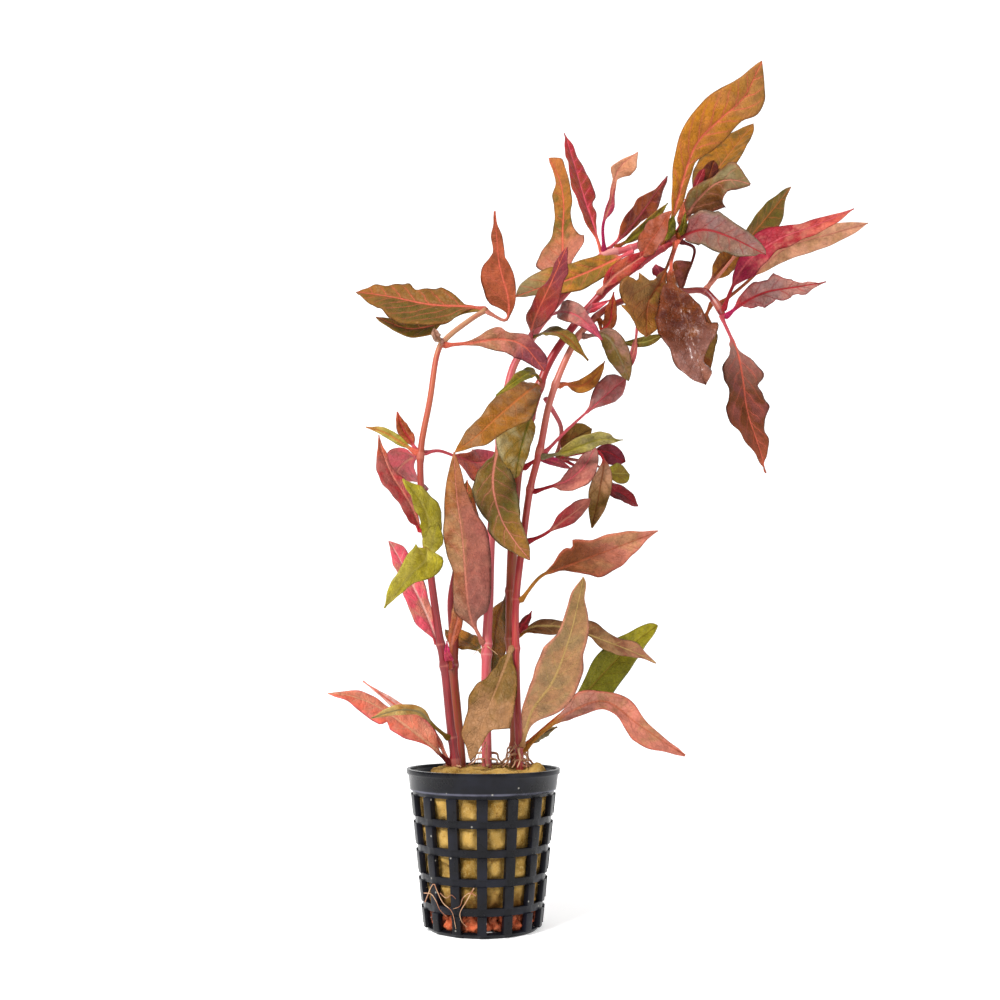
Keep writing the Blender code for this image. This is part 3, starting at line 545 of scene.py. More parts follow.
# %% Outlines
OUTLINES = {
    "leaf_left_top": ((0.08, 0.8, 0.8), (0.15, 4.6, 1.6), (0.2, 8.0, 3.3), (0.3, 11.8, 6.3),
        (0.4, 12.9, 7.6), (0.5, 12.8, 6.1), (0.55, 12.2, 4.8), (0.6, 11.0, 6.2), (0.65, 9.2, 6.6),
        (0.7, 7.8, 6.4), (0.8, 5.6, 4.4), (0.9, 3.4, 2.8)),
    "old_olive_left": ((0.4, 0.8, 0.8), (0.45, 4.6, 1.6), (0.52, 5.2, 2.4), (0.65, 4.2, 3.0),
        (0.75, 3.2, 3.0), (0.85, 2.6, 2.4), (0.93, 1.7, 1.4)),
    "leaf_left_upright": ((0.14, 0.7, 0.7), (0.2, 0.9, 1.2), (0.25, 3.6, 2.4), (0.3, 7.0, 3.4),
        (0.4, 8.0, 4.2), (0.5, 8.2, 5.1), (0.6, 6.8, 4.6), (0.65, 3.6, 3.3), (0.7, 1.7, 2.9),
        (0.8, 2.4, 2.4), (0.9, 1.1, 1.1)),
    "leaf_left_salmon": ((0.17, 0.7, 0.7), (0.3, 1.8, 1.8), (0.4, 3.5, 3.3), (0.5, 4.4, 4.2),
        (0.56, 2.6, 4.5), (0.62, 3.0, 4.9), (0.7, 4.0, 5.0), (0.8, 3.7, 3.8), (0.9, 3.6, 2.4),
        (0.96, 2.0, 1.4)),
    "leaf_pair_red": ((0.06, 0.8, 0.8), (0.1, 2.5, 1.2), (0.2, 4.2, 2.8), (0.3, 4.3, 6.1),
        (0.4, 3.8, 9.0), (0.5, 3.7, 10.2), (0.6, 2.8, 9.0), (0.7, 1.8, 7.4), (0.8, 1.8, 7.6),
        (0.85, 1.8, 5.3), (0.9, 1.7, 3.3)),
    "leaf_crimson_upright": ((0.1, 0.8, 0.7), (0.14, 2.4, 0.8), (0.2, 5.8, 1.4), (0.3, 6.4, 3.3),
        (0.4, 6.4, 4.1), (0.46, 6.4, 6.0), (0.5, 6.2, 6.1), (0.6, 5.8, 5.4), (0.7, 4.8, 4.9),
        (0.8, 3.5, 3.3), (0.9, 1.8, 1.8)),
    "leaf_tall_orange": ((0.07, 0.8, 0.8), (0.12, 6.0, 4.0), (0.2, 11.0, 10.8), (0.25, 9.5, 10.6),
        (0.3, 8.0, 7.8), (0.4, 4.3, 5.0), (0.5, 3.6, 3.9), (0.6, 3.9, 4.0), (0.7, 4.7, 4.0),
        (0.8, 2.0, 4.4), (0.9, 0.9, 4.9), (0.96, 0.8, 2.6)),
    "leaf_pink_flag": ((0.28, 0.6, 0.6), (0.35, 1.0, 1.6), (0.4, 1.2, 2.0), (0.5, 0.7, 1.5),
        (0.6, 0.7, 1.2), (0.66, 0.8, 0.9), (0.7, 1.6, 2.0), (0.75, 3.0, 4.0), (0.8, 2.0, 4.9),
        (0.9, 0.9, 4.7), (0.95, 0.4, 2.4)),
    "leaf_brown_red": ((0.12, 0.7, 0.7), (0.16, 2.0, 0.8), (0.2, 3.9, 1.0), (0.3, 5.8, 1.3),
        (0.4, 5.5, 2.0), (0.5, 5.6, 3.1), (0.6, 4.3, 4.3), (0.7, 2.6, 4.2), (0.8, 1.0, 3.2),
        (0.9, 0.5, 1.8)),
    "leaf_top_large": ((0.1, 0.8, 0.8), (0.2, 2.8, 2.6), (0.3, 4.6, 2.8), (0.4, 6.3, 2.6),
        (0.47, 7.4, 4.7), (0.52, 8.2, 6.5), (0.6, 9.0, 7.1), (0.68, 9.4, 6.4), (0.74, 9.0, 5.8),
        (0.8, 8.2, 8.0), (0.85, 6.8, 7.5), (0.9, 4.6, 5.3), (0.95, 2.6, 3.0)),
    "leaf_top_behind": ((0.25, 0.8, 0.8), (0.35, 4.0, 4.0), (0.45, 7.4, 6.6), (0.55, 9.6, 8.2),
        (0.65, 10.2, 7.8), (0.75, 9.6, 6.6), (0.85, 7.4, 4.8), (0.92, 5.0, 3.2), (0.96, 3.2, 1.9)),
    "leaf_top_curled": ((0.2, 0.8, 0.8), (0.28, 3.4, 4.0), (0.4, 5.0, 7.5), (0.5, 3.8, 9.4),
        (0.6, 2.8, 9.8), (0.7, 4.6, 8.8), (0.76, 6.4, 6.2), (0.8, 6.3, 4.1), (0.86, 4.6, 3.2),
        (0.9, 3.0, 2.6)),
    "leaf_mauve_grey": ((0.03, 0.8, 0.8), (0.1, 4.4, 2.2), (0.2, 5.6, 4.6), (0.3, 6.5, 5.7),
        (0.4, 6.6, 6.2), (0.5, 5.6, 6.4), (0.6, 4.9, 6.4), (0.7, 4.3, 5.9), (0.8, 3.6, 4.9),
        (0.9, 2.6, 1.5)),
    "leaf_right_olive": ((0.3, 0.8, 0.8), (0.38, 2.0, 2.0), (0.5, 4.9, 4.4), (0.6, 5.2, 5.6),
        (0.7, 5.2, 6.5), (0.8, 4.0, 5.2), (0.9, 2.6, 2.0)),
    "leaf_right_crimson": ((0.15, 0.7, 0.7), (0.2, 2.0, 2.4), (0.3, 3.5, 6.2), (0.4, 5.5, 6.0),
        (0.5, 6.3, 4.0), (0.6, 4.1, 5.8), (0.7, 2.6, 4.9), (0.8, 2.2, 3.4), (0.9, 1.3, 2.4)),
    "leaf_right_mauve": ((0.1, 0.8, 0.7), (0.2, 2.6, 1.6), (0.3, 4.0, 3.8), (0.4, 5.0, 4.8),
        (0.5, 4.1, 4.1), (0.55, 6.1, 3.1), (0.6, 5.3, 4.0), (0.65, 3.7, 3.8), (0.7, 2.7, 2.6),
        (0.75, 2.0, 2.3), (0.8, 1.3, 3.3), (0.85, 1.0, 2.2), (0.9, 0.6, 1.2)),
    "leaf_hanging_tip": ((0.15, 0.8, 0.8), (0.2, 1.2, 2.6), (0.3, 6.0, 5.6), (0.4, 8.4, 9.4),
        (0.45, 6.6, 10.4), (0.5, 7.7, 10.8), (0.6, 8.4, 9.6), (0.65, 7.6, 11.4), (0.7, 6.1, 10.8),
        (0.8, 4.4, 8.5), (0.9, 2.3, 2.2), (0.94, 0.7, 0.6)),
    "leaf_glossy_brown": ((0.27, 0.8, 0.8), (0.3, 0.8, 1.5), (0.4, 1.2, 4.0), (0.5, 2.8, 6.6),
        (0.6, 5.8, 9.6), (0.7, 6.4, 10.2), (0.75, 9.5, 9.0), (0.8, 7.6, 7.7), (0.84, 4.2, 7.8),
        (0.88, 1.6, 7.2), (0.92, 2.8, 5.4), (0.96, 3.2, 3.8), (0.98, 2.2, 2.2)),
    "leaf_crinkled": ((0.32, 0.8, 0.8), (0.38, 2.0, 1.8), (0.44, 3.0, 2.4), (0.5, 4.4, 2.8),
        (0.54, 5.0, 5.0), (0.57, 5.2, 9.0), (0.6, 5.4, 7.4), (0.64, 5.8, 9.2), (0.68, 6.2, 13.2),
        (0.72, 6.2, 13.6), (0.76, 5.6, 10.8), (0.79, 5.2, 8.4), (0.84, 4.8, 11.4),
        (0.88, 4.4, 10.6), (0.93, 3.6, 5.2)),
    "leaf_ochre_large": ((0.02, 2.0, 3.0), (0.1, 2.9, 6.4), (0.2, 5.1, 6.2), (0.3, 7.0, 6.4),
        (0.4, 9.2, 5.6), (0.5, 10.6, 4.9), (0.6, 9.2, 4.3), (0.7, 6.3, 4.0), (0.8, 5.4, 3.5),
        (0.9, 3.6, 2.2)),
    "leaf_magenta_left": ((0.36, 0.6, 0.6), (0.42, 1.5, 3.5), (0.5, 2.4, 7.4), (0.6, 4.4, 9.0),
        (0.66, 5.6, 7.8), (0.72, 6.2, 5.2), (0.8, 5.6, 3.0), (0.9, 4.4, 1.8)),
    "leaf_dark_hanging": ((0.08, 0.8, 0.8), (0.2, 3.5, 2.9), (0.3, 6.4, 5.5), (0.4, 8.0, 7.4),
        (0.5, 8.6, 6.7), (0.6, 8.3, 5.6), (0.65, 7.8, 4.6), (0.7, 7.2, 5.6), (0.8, 5.7, 5.0),
        (0.9, 3.8, 2.8)),
    "leaf_mauve_large": ((0.08, 0.8, 0.8), (0.12, 2.0, 1.6), (0.2, 5.5, 7.0), (0.3, 5.2, 9.3),
        (0.4, 4.9, 10.5), (0.5, 6.4, 10.8), (0.6, 6.8, 9.9), (0.7, 5.8, 6.5), (0.8, 4.3, 4.4),
        (0.9, 2.4, 2.5)),
    "leaf_lime_upper": ((0.02, 0.8, 0.8), (0.08, 2.8, 4.6), (0.2, 3.5, 5.0), (0.3, 4.4, 5.5),
        (0.4, 4.3, 5.6), (0.5, 4.5, 5.0), (0.6, 4.4, 4.3), (0.7, 4.0, 3.7), (0.8, 3.2, 2.6),
        (0.9, 2.0, 1.4)),
    "leaf_lime_lower": ((0.02, 0.8, 0.8), (0.08, 5.0, 3.6), (0.2, 6.4, 5.5), (0.3, 5.6, 7.6),
        (0.4, 4.6, 7.0), (0.5, 3.5, 5.8), (0.6, 2.5, 4.8), (0.7, 1.8, 4.4), (0.8, 1.3, 3.7),
        (0.9, 0.8, 2.3)),
    "leaf_hot_pink": ((0.03, 0.8, 0.8), (0.1, 3.3, 1.3), (0.2, 6.5, 2.0), (0.3, 6.4, 2.9),
        (0.4, 5.7, 3.8), (0.5, 4.9, 4.5), (0.6, 4.0, 4.7), (0.7, 3.8, 4.3), (0.8, 2.6, 4.2),
        (0.9, 1.5, 3.4), (0.96, 1.0, 2.2)),
    "leaf_purple_left": ((0.04, 0.8, 0.8), (0.1, 3.8, 1.0), (0.2, 5.2, 1.7), (0.3, 4.9, 3.0),
        (0.4, 5.5, 3.7), (0.5, 7.3, 3.3), (0.6, 6.6, 2.3), (0.7, 4.6, 1.4), (0.8, 2.7, 1.3),
        (0.9, 1.2, 0.8)),
    "leaf_crimson_left": ((0.1, 0.8, 0.8), (0.2, 3.4, 3.4), (0.3, 6.8, 6.0), (0.4, 10.2, 7.0),
        (0.5, 12.6, 7.0), (0.6, 12.8, 5.6), (0.7, 11.0, 4.2), (0.8, 8.0, 3.0), (0.9, 4.4, 1.6)),
    "leaf_tan_large": ((0.04, 0.8, 0.8), (0.1, 1.6, 1.4), (0.2, 3.5, 5.5), (0.3, 5.6, 8.0),
        (0.4, 7.7, 8.6), (0.5, 8.7, 8.1), (0.6, 8.7, 6.0), (0.65, 7.0, 5.9), (0.7, 5.2, 5.8),
        (0.8, 3.8, 4.0), (0.9, 3.4, 1.6), (0.97, 2.0, 1.2)),
    "leaf_salmon_brown": ((0.24, 0.8, 0.8), (0.3, 2.4, 0.9), (0.4, 6.0, 2.7), (0.44, 6.5, 3.6),
        (0.47, 5.6, 4.6), (0.5, 9.2, 5.5), (0.55, 8.2, 7.2), (0.6, 6.9, 7.6), (0.7, 6.0, 6.8),
        (0.8, 4.7, 4.3), (0.9, 3.0, 1.7)),
    "leaf_brown_narrow": ((0.05, 0.8, 0.8), (0.1, 1.2, 3.4), (0.2, 2.8, 4.4), (0.3, 2.8, 2.6),
        (0.4, 4.0, 1.0), (0.5, 5.5, 1.0), (0.6, 4.4, 4.2), (0.7, 3.2, 4.7), (0.8, 4.0, 3.0),
        (0.9, 2.4, 0.8)),
    "leaf_green_low": ((0.26, 0.8, 0.8), (0.3, 1.0, 1.6), (0.35, 2.6, 4.0), (0.4, 4.5, 6.5),
        (0.5, 8.4, 8.8), (0.6, 9.0, 7.8), (0.7, 8.2, 6.6), (0.8, 6.0, 5.8), (0.9, 4.4, 3.8),
        (0.96, 2.6, 2.0)),
    "leaf_pink_low": ((0.22, 0.9, 1.0), (0.3, 2.2, 2.8), (0.35, 3.8, 3.0), (0.4, 4.5, 3.0),
        (0.5, 3.3, 3.4), (0.6, 4.4, 3.4), (0.7, 2.8, 5.2), (0.75, 2.2, 6.6), (0.8, 1.8, 6.4),
        (0.9, 1.1, 4.0)),
    "leaf_tan_low": ((0.03, 0.8, 0.8), (0.1, 1.8, 1.8), (0.2, 4.8, 2.5), (0.3, 6.8, 4.5),
        (0.4, 7.8, 6.3), (0.5, 9.0, 6.8), (0.6, 10.2, 6.6), (0.66, 10.0, 6.2), (0.7, 4.8, 5.9),
        (0.8, 2.8, 4.8), (0.9, 2.2, 2.6)),
    "leaf_coral_low": ((0.1, 0.7, 0.7), (0.15, 0.7, 2.0), (0.2, 0.9, 4.2), (0.3, 2.4, 6.0),
        (0.4, 4.0, 5.6), (0.5, 4.6, 2.8), (0.54, 3.0, 2.4), (0.58, 5.4, 2.0), (0.7, 4.8, 2.5),
        (0.8, 3.5, 2.2), (0.9, 2.0, 1.1)),
    "leaf_brown_behind": ((0.15, 0.8, 0.8), (0.2, 3.0, 2.0), (0.3, 6.5, 3.5), (0.5, 7.8, 4.5),
        (0.6, 7.4, 4.5), (0.7, 6.2, 4.2), (0.85, 3.6, 3.0), (0.95, 1.6, 1.4)),
    "leaf_terracotta": ((0.1, 0.8, 0.8), (0.2, 3.5, 3.0), (0.35, 5.6, 5.5), (0.5, 6.2, 6.4),
        (0.65, 5.2, 5.6), (0.8, 3.6, 3.6), (0.92, 1.6, 1.6)),
    "leaf_long_olive": ((0.1, 0.8, 0.8), (0.15, 2.0, 3.6), (0.3, 5.4, 4.6), (0.5, 6.8, 6.0),
        (0.65, 5.8, 6.6), (0.75, 4.4, 6.4), (0.9, 1.9, 4.4), (0.95, 1.2, 2.8)),
    "leaf_green_behind": ((0.05, 0.8, 0.8), (0.15, 3.2, 7.2), (0.3, 3.4, 12.0), (0.5, 3.4, 12.8),
        (0.7, 3.0, 9.2), (0.85, 2.2, 5.2), (0.95, 1.2, 2.0)),
    "old_grey_hanging": ((0.5, 0.4, 0.4), (0.55, 0.5, 5.2), (0.62, 0.6, 6.2), (0.72, 0.7, 5.4),
        (0.82, 0.8, 4.2), (0.92, 0.8, 2.4)),
    "leaf_salmon_mauve": ((0.24, 0.7, 0.7), (0.32, 1.4, 3.4), (0.45, 2.8, 6.2), (0.6, 3.4, 7.0),
        (0.75, 3.4, 5.8), (0.88, 2.4, 3.4), (0.95, 1.2, 1.8)),
    "leaf_mauve_cup": ((0.48, 0.8, 0.8), (0.56, 2.0, 1.2), (0.64, 4.4, 2.6), (0.72, 5.8, 3.8),
        (0.8, 6.2, 4.8), (0.9, 4.8, 4.6), (0.96, 3.0, 3.0)),
    "leaf_olive_fold": ((0.18, 0.8, 0.8), (0.28, 2.6, 2.6), (0.42, 4.2, 3.8), (0.6, 4.6, 4.0),
        (0.75, 3.8, 3.4), (0.9, 2.0, 1.9)),
}
print("leaves with outlines of their own:", len(OUTLINES))

# %% [markdown]
# ## How single leaves bend
#
# Every leaf starts from one plain shape, and its row says what differs: how strong and how
# many its ruffles are, how it twists and arches in degrees, and how crinkled it is.

# %% Ways in which single leaves bend
PLAIN_SHAPE = {"ruffle": 0.35, "waves": 3.0, "twist": 0.0, "arch": 0.0, "crinkle": 0.35}

SHAPES = {
    "leaf_left_top": {"ruffle": 0.8, "waves": 3.5},
    "leaf_left_salmon": {"ruffle": 0.7, "waves": 3.5, "crinkle": 0.7},
    "leaf_top_large": {"ruffle": 0.5, "arch": 10},
    "leaf_top_curled": {"ruffle": 1.2, "waves": 2.5, "arch": 20},
    "leaf_mauve_grey": {"ruffle": 1.2, "waves": 3.5, "arch": -8, "crinkle": 1.2},
    "leaf_right_mauve": {"ruffle": 1.1, "waves": 6},
    "leaf_hanging_tip": {"ruffle": 0.8, "waves": 4},
    "leaf_glossy_brown": {"ruffle": 1.4, "waves": 4, "crinkle": 3.0, "arch": -10},
    "leaf_crinkled": {"ruffle": 1.1, "waves": 5, "crinkle": 2.4},
    "leaf_ochre_large": {"ruffle": 0.6, "arch": -12, "crinkle": 0.5},
    "leaf_dark_hanging": {"ruffle": 0.7, "waves": 4, "crinkle": 0.5},
    "leaf_mauve_large": {"arch": 12, "crinkle": 0.5},
    "leaf_salmon_brown": {"ruffle": 0.7},
    "leaf_tan_low": {"ruffle": 0.9, "crinkle": 2.0, "arch": -8},
    "leaf_coral_low": {"ruffle": 0.6},
    "leaf_pink_low": {"ruffle": 0.5, "arch": -14},
    "leaf_pale_green": {"ruffle": 0.9, "twist": 30},
    "leaf_mauve_cup": {"arch": 25, "ruffle": 0.6},
    "leaf_dusty_pink": {"ruffle": 0.8, "crinkle": 0.5},
}

# %% [markdown]
# ## Half widths
#
# These functions turn an outline's rows, or a leaf's greatest half widths, into the half
# width at any place. Sizes are in mm here. The side veins also lift the blade a little.

# %% Half widths
STALK_HALF_WIDTH = 0.7
TIP_HALF_WIDTH = 0.25
STALK_DEPTH = 1.1
BLADE_DEPTH = 0.36
RIB_DEPTH = 0.55
RIB_SPREAD = 0.7
LEAF_FOLD = math.radians(12)
QUILT = 0.42
VEIN_PITCH = 6.2
VEIN_SLOPE = 1.2
VEIN_CURVE = 0.035
FLARE = 0.5
FLARE_SPREAD = 1.6


def blade_share(t, stalk, belly):
    """Half width at t of the leaf's length, as a share of the greatest half width."""
    if t <= stalk or t >= 1.0:
        return 0.0
    s = (t - stalk) / (1.0 - stalk)
    widest = (belly - stalk) / (1.0 - stalk)
    a, b = 1.7 * widest, 1.7 * (1.0 - widest)
    return (s ** a * (1.0 - s) ** b) / (widest ** a * (1.0 - widest) ** b)


def slope_at(rows, index, column):
    """The slope of an outline at one of its rows: level at a peak or in a dip."""
    if index == 0 or index == len(rows) - 1:
        return 0.0
    before, here, after = rows[index - 1], rows[index], rows[index + 1]
    rise = (here[column] - before[column]) / (here[0] - before[0])
    fall = (after[column] - here[column]) / (after[0] - here[0])
    return 2 * rise * fall / (rise + fall) if rise * fall > 0 else 0.0


def outline_width(rows, t, column):
    """The half width at t on the smooth curve through an outline's rows."""
    rows = rows + ((1.0, 0.0, 0.0),)
    if t <= rows[0][0] or t >= 1.0:
        return 0.0
    index = max(i for i in range(len(rows) - 1) if rows[i][0] <= t)
    here, after = rows[index], rows[index + 1]
    span = after[0] - here[0]
    s = (t - here[0]) / span
    start, end = slope_at(rows, index, column) * span, slope_at(rows, index + 1, column) * span
    if index + 2 == len(rows):
        end = -1.6 * here[column]
    return (here[column] * (2 * s ** 3 - 3 * s ** 2 + 1) + start * (s ** 3 - 2 * s ** 2 + s)
            + after[column] * (3 * s ** 2 - 2 * s ** 3) + end * (s ** 3 - s ** 2))


def half_width(name, row, t, along, side):
    """The half width in mm on one side, at share t and at along mm from the stem."""
    if name in OUTLINES:
        width = outline_width(OUTLINES[name], t, 1 if side < 0 else 2)
    else:
        widths, stalk, belly = row[5:]
        width = widths[0 if side < 0 else 1] * blade_share(t, stalk, belly)
    flare = FLARE * bump(along, FLARE_SPREAD)
    least = STALK_HALF_WIDTH + flare + (TIP_HALF_WIDTH - STALK_HALF_WIDTH) * max(t, 0.0)
    return max(width, least)


def stalk_share(name, row):
    """The share of a leaf's length that is stalk."""
    return OUTLINES[name][0][0] if name in OUTLINES else row[6]


def vein_phase(across, along):
    """How many side veins lie between the leaf's base and this place of the blade."""
    reach = abs(across)
    shift = 0.2 if across > 0 else -0.2
    return (along - VEIN_SLOPE * reach - VEIN_CURVE * reach ** 2) / VEIN_PITCH + shift


# %% [markdown]
# ## Leaf sections
#
# A leaf is skinned over rings that go across its upper side and back along its under
# side. In the stalk a ring is nearly round. In the blade it is thin, with a rib below the
# midrib. The corners are closer together at the midrib, where the section bends most.

# %% Leaf rings
SIDE_STEPS = 9
ROW_STEP = 1.05
ACROSS = [(step / SIDE_STEPS) ** 1.35 for step in range(SIDE_STEPS + 1)]
UPPER = [-share for share in reversed(ACROSS)] + ACROSS[1:]
SECTION = [(share, 1) for share in UPPER] + [(share, -1) for share in reversed(UPPER[1:-1])]
INNER_ROWS = 3
FEWEST_ROWS = 26
MOST_ROWS = 78
CRINKLES_PER_M = 140
CRINKLE_REACH = 2
QUILT_REACH = 1.5
RUFFLE_POWER = 1.6
OVERTONE = 0.4
OVERTONE_PITCH = 2.3
BLADE_LEAD = 0.02
BLADE_RUN = 0.10
STALK_TAPER = 0.5
RIB_TAPER = 0.85


def nearest_on_stem(name, place):
    """The centre, direction and radius of a stem where it passes nearest to a place."""
    places, radii = COURSES[name]
    best = None
    for a, b, r in zip(places, places[1:], radii):
        along = b - a
        share = min(max((place - a).dot(along) / along.length_squared, 0.0), 1.0)
        centre = a + along * share
        if best is None or (place - centre).length < best[0]:
            best = ((place - centre).length, centre, along.normalized(), r)
    return best[1:]


def leaf_course(row):
    """The points of a leaf's midrib, from just outside its stem, and the stem's centre."""
    grown_from, spots, middle, end = row[:4]
    at_stem = spot(*spots[0], 0.0)
    for _ in range(3):
        centre, stem_way, stem_radius = nearest_on_stem(grown_from, at_stem)
        at_stem = spot(*spots[0], centre.y)
    last = len(spots) - 1
    points = []
    for index, (px, py) in enumerate(spots):
        t = index / last
        depth = (centre.y / MM * (1 - t) * (1 - 2 * t) + middle * 4 * t * (1 - t)
                 + end * t * (2 * t - 1))
        points.append(spot(px, py, depth * MM))
    away = points[1] - centre
    away -= stem_way * away.dot(stem_way)
    points[0] = centre + away.normalized() * (stem_radius + STALK_HALF_WIDTH * MM)
    return points, centre


def leaf_rings(name, row, shape, seed):
    """The rings of one leaf, with their places in mm and as shares."""
    points, centre = leaf_course(row)
    rows = min(max(round(path_length(points) / MM / ROW_STEP), FEWEST_ROWS), MOST_ROWS)
    midrib = smooth_path(points, rows + 1)
    step = path_length(midrib) / MM / rows
    inner = [centre.lerp(midrib[0], (i + 1) / (INNER_ROWS + 1)) for i in range(INNER_ROWS)]
    midrib = inner + midrib
    stalk, turn = stalk_share(name, row), row[4]
    rings, in_mm, in_shares = [], [], []
    for index, heart in enumerate(midrib):
        t = (index - INNER_ROWS) / rows
        along = max(t, 0.0) * rows * step
        before = midrib[max(index - 2, 0)]
        after = midrib[min(index + 2, len(midrib) - 1)]
        way = (after - before).normalized()
        left = way.cross(Vector((0, 1, 0))).normalized()
        front = way.cross(left)
        angle = math.radians(turn + shape["twist"] * (max(t, 0.0) - 0.5))
        tilted = left * math.cos(angle) + front * math.sin(angle)
        face = way.cross(tilted)
        blade = ease(t, stalk - BLADE_LEAD, stalk + BLADE_RUN)
        fold = LEAF_FOLD + math.radians(shape["arch"]) * 0.5
        ring = []
        for share, side in SECTION:
            half = half_width(name, row, t, along, -1 if share < 0 else 1)
            reach = abs(share) * half
            across = math.copysign(reach, share)
            lift = reach * math.sin(fold) * blade
            lift -= math.radians(shape["arch"]) * reach * abs(share) * blade
            phase = seed * 1.7 + (1.3 if share > 0 else 0.0)
            overtone = math.sin(2 * math.pi * OVERTONE_PITCH * shape["waves"] * t + 2 * phase)
            wave = math.sin(2 * math.pi * shape["waves"] * t + phase) + OVERTONE * overtone
            lift += shape["ruffle"] * abs(share) ** RUFFLE_POWER * wave * blade
            quilt = 0.5 - 0.5 * math.cos(2 * math.pi * vein_phase(across, along))
            lift += (QUILT * quilt * blade * min(reach / QUILT_REACH, 1.0)
                     * (1 - abs(share) ** 3))
            place = heart + (tilted * -across * math.cos(fold) + face * lift) * MM
            rough = noise.noise(place * CRINKLES_PER_M + Vector((seed, 0, 0)))
            lift += shape["crinkle"] * rough * blade * min(reach / CRINKLE_REACH, 1.0)
            round_part = (STALK_DEPTH * math.sqrt(max(1 - share * share, 0.0))
                          * (1 - STALK_TAPER * t))
            rib = RIB_DEPTH * (1 - RIB_TAPER * t) * bump(reach, RIB_SPREAD) * (side < 0)
            flat_part = (BLADE_DEPTH + rib) * (1 - share ** 6)
            depth = round_part * (1 - blade) + flat_part * blade
            if abs(share) == 1.0:
                depth = 0.0
            place = heart + (tilted * -across * math.cos(fold)
                             + face * (lift + side * depth / 2)) * MM
            ring.append(place)
            in_mm.append((across, along, 0.0))
            in_shares.append((share, max(t, 0.0), 1.0 if side < 0 else 0.0))
        rings.append(ring)
    return rings, in_mm, in_shares


print("corners in a leaf's ring:", len(SECTION))

# %% [markdown]
# ## Colours by name
#
# The species is sold for its reds, but a plant grown out of water has every tone from
# lime through ochre and russet to crimson and mauve. The tones are few and have names.
# They are written as 0 to 255 screen values, and turned into the linear values that
# Blender mixes.

# %% Tones
TONES = {
    "lime": (158, 146, 54), "moss": (104, 100, 26), "yellow_green": (186, 172, 92),
    "olive": (134, 106, 56), "dark_olive": (98, 72, 34), "grey_olive": (148, 134, 98),
    "ochre": (180, 120, 56), "gold": (194, 128, 44), "orange": (208, 124, 72),
    "tan": (186, 138, 98), "peach": (224, 162, 128), "straw": (214, 178, 112),
    "russet": (156, 84, 54), "brown": (126, 74, 46), "dark_brown": (88, 50, 34),
    "terracotta": (190, 100, 70), "coral": (228, 112, 90), "salmon": (216, 134, 114),
    "hot_pink": (234, 96, 112), "blush": (240, 190, 178), "pink": (214, 96, 104),
    "crimson": (176, 56, 62), "maroon": (134, 44, 50), "wine": (104, 34, 42),
    "magenta": (184, 56, 96), "mauve": (164, 94, 88), "dusty": (176, 126, 114),
    "purple": (138, 66, 78), "grey_mauve": (170, 134, 130), "pot_black": (42, 43, 49),
    # The pale bluish edge tone on the next line is a painted highlight for the pot's band.
    "pot_grey": (56, 57, 66), "band_edge_highlight": (120, 120, 136), "dust": (190, 186, 176),
    # The wool and clay tones are lighter than those materials are, as painted light against the
    # shade inside the pot; the darkest wool tone is painted shade.
    "wool": (214, 172, 96), "wool_shade": (150, 114, 58), "wool_light": (238, 208, 140),
    "wool_painted_shade": (104, 70, 32), "clay": (226, 112, 72), "clay_dark": (156, 80, 56),
    "clay_light": (246, 158, 112), "root": (176, 108, 78), "root_pale": (222, 178, 138),
}


EXPOSURE = 1.41
SHEEN = 0.023
DARKEST = 0.004


def tone(name):
    """A named tone as linear red, green and blue, less the white sheen that the surface
    adds and what the lamps add, and an alpha of 1."""
    def linear(value):
        share = value / 255
        return share / 12.92 if share <= 0.04045 else ((share + 0.055) / 1.055) ** 2.4
    return (*[max((linear(value) - SHEEN) / EXPOSURE, DARKEST) for value in TONES[name]], 1.0)


print("tones:", len(TONES))

# %% [markdown]
# ## Helpers for node trees
#
# A node tree is easier to read when each node is one line. These helpers add a node with
# its settings and inputs, where an input is either a plain value or another node's
# output. A node joins the tree of what feeds it, so the short ones aren't told the tree.


# %% Node helpers
def put(tree, kind, inputs=None, **settings):
    """A new node with its settings, and its inputs fed."""
    node = tree.nodes.new(kind)
    for key, value in settings.items():
        setattr(node, key, value)
    feed(node, inputs or {})
    return node


def tree_of(*values):
    """The node tree of the first socket among the values."""
    return next(value.id_data for value in values if isinstance(value, bpy.types.NodeSocket))


def calc(operation, a, b=0.0, c=0.0):
    node = put(tree_of(a, b, c), "ShaderNodeMath", {0: a, 1: b, 2: c}, operation=operation)
    return node.outputs[0]


def times(a, b):
    return calc("MULTIPLY", a, b)


def plus(a, b):
    return calc("ADD", a, b)


def minus(a, b):
    return calc("SUBTRACT", a, b)


def over(a, b):
    return calc("DIVIDE", a, b)


def scaled(value, factor, offset):
    """The value times a factor, plus an offset."""
    return calc("MULTIPLY_ADD", value, factor, offset)


def blend(share, low, high):
    """A colour between low and high, each a tone's name, a colour or a socket."""
    low, high = (tone(end) if isinstance(end, str) else end for end in (low, high))
    node = put(tree_of(share, low, high), "ShaderNodeMix", {0: share, 6: low, 7: high},
               data_type="RGBA")
    return node.outputs[2]


def ramp(value, low, high, start=0.0, end=1.0):
    """start below low, end above high, smooth between them."""
    ins = {"Value": value, "From Min": low, "From Max": high, "To Min": start, "To Max": end}
    node = put(tree_of(value), "ShaderNodeMapRange", ins, interpolation_type="SMOOTHSTEP")
    return node.outputs[0]


def cloud(where, scale, detail, roughness=0.5, distortion=0.0):
    """Noise between 0 and 1; a larger scale makes finer clouds."""
    ins = {"Vector": where, "Scale": scale, "Detail": detail, "Roughness": roughness,
           "Distortion": distortion}
    return put(tree_of(where), "ShaderNodeTexNoise", ins).outputs[0]


def axes(vector):
    """The three numbers of a vector."""
    return put(tree_of(vector), "ShaderNodeSeparateXYZ", {0: vector}).outputs[:]


def relief(height, strength, distance):
    """A bump for a shader's Normal."""
    ins = {"Height": height, "Strength": strength, "Distance": distance}
    return put(tree_of(height), "ShaderNodeBump", ins).outputs[0]


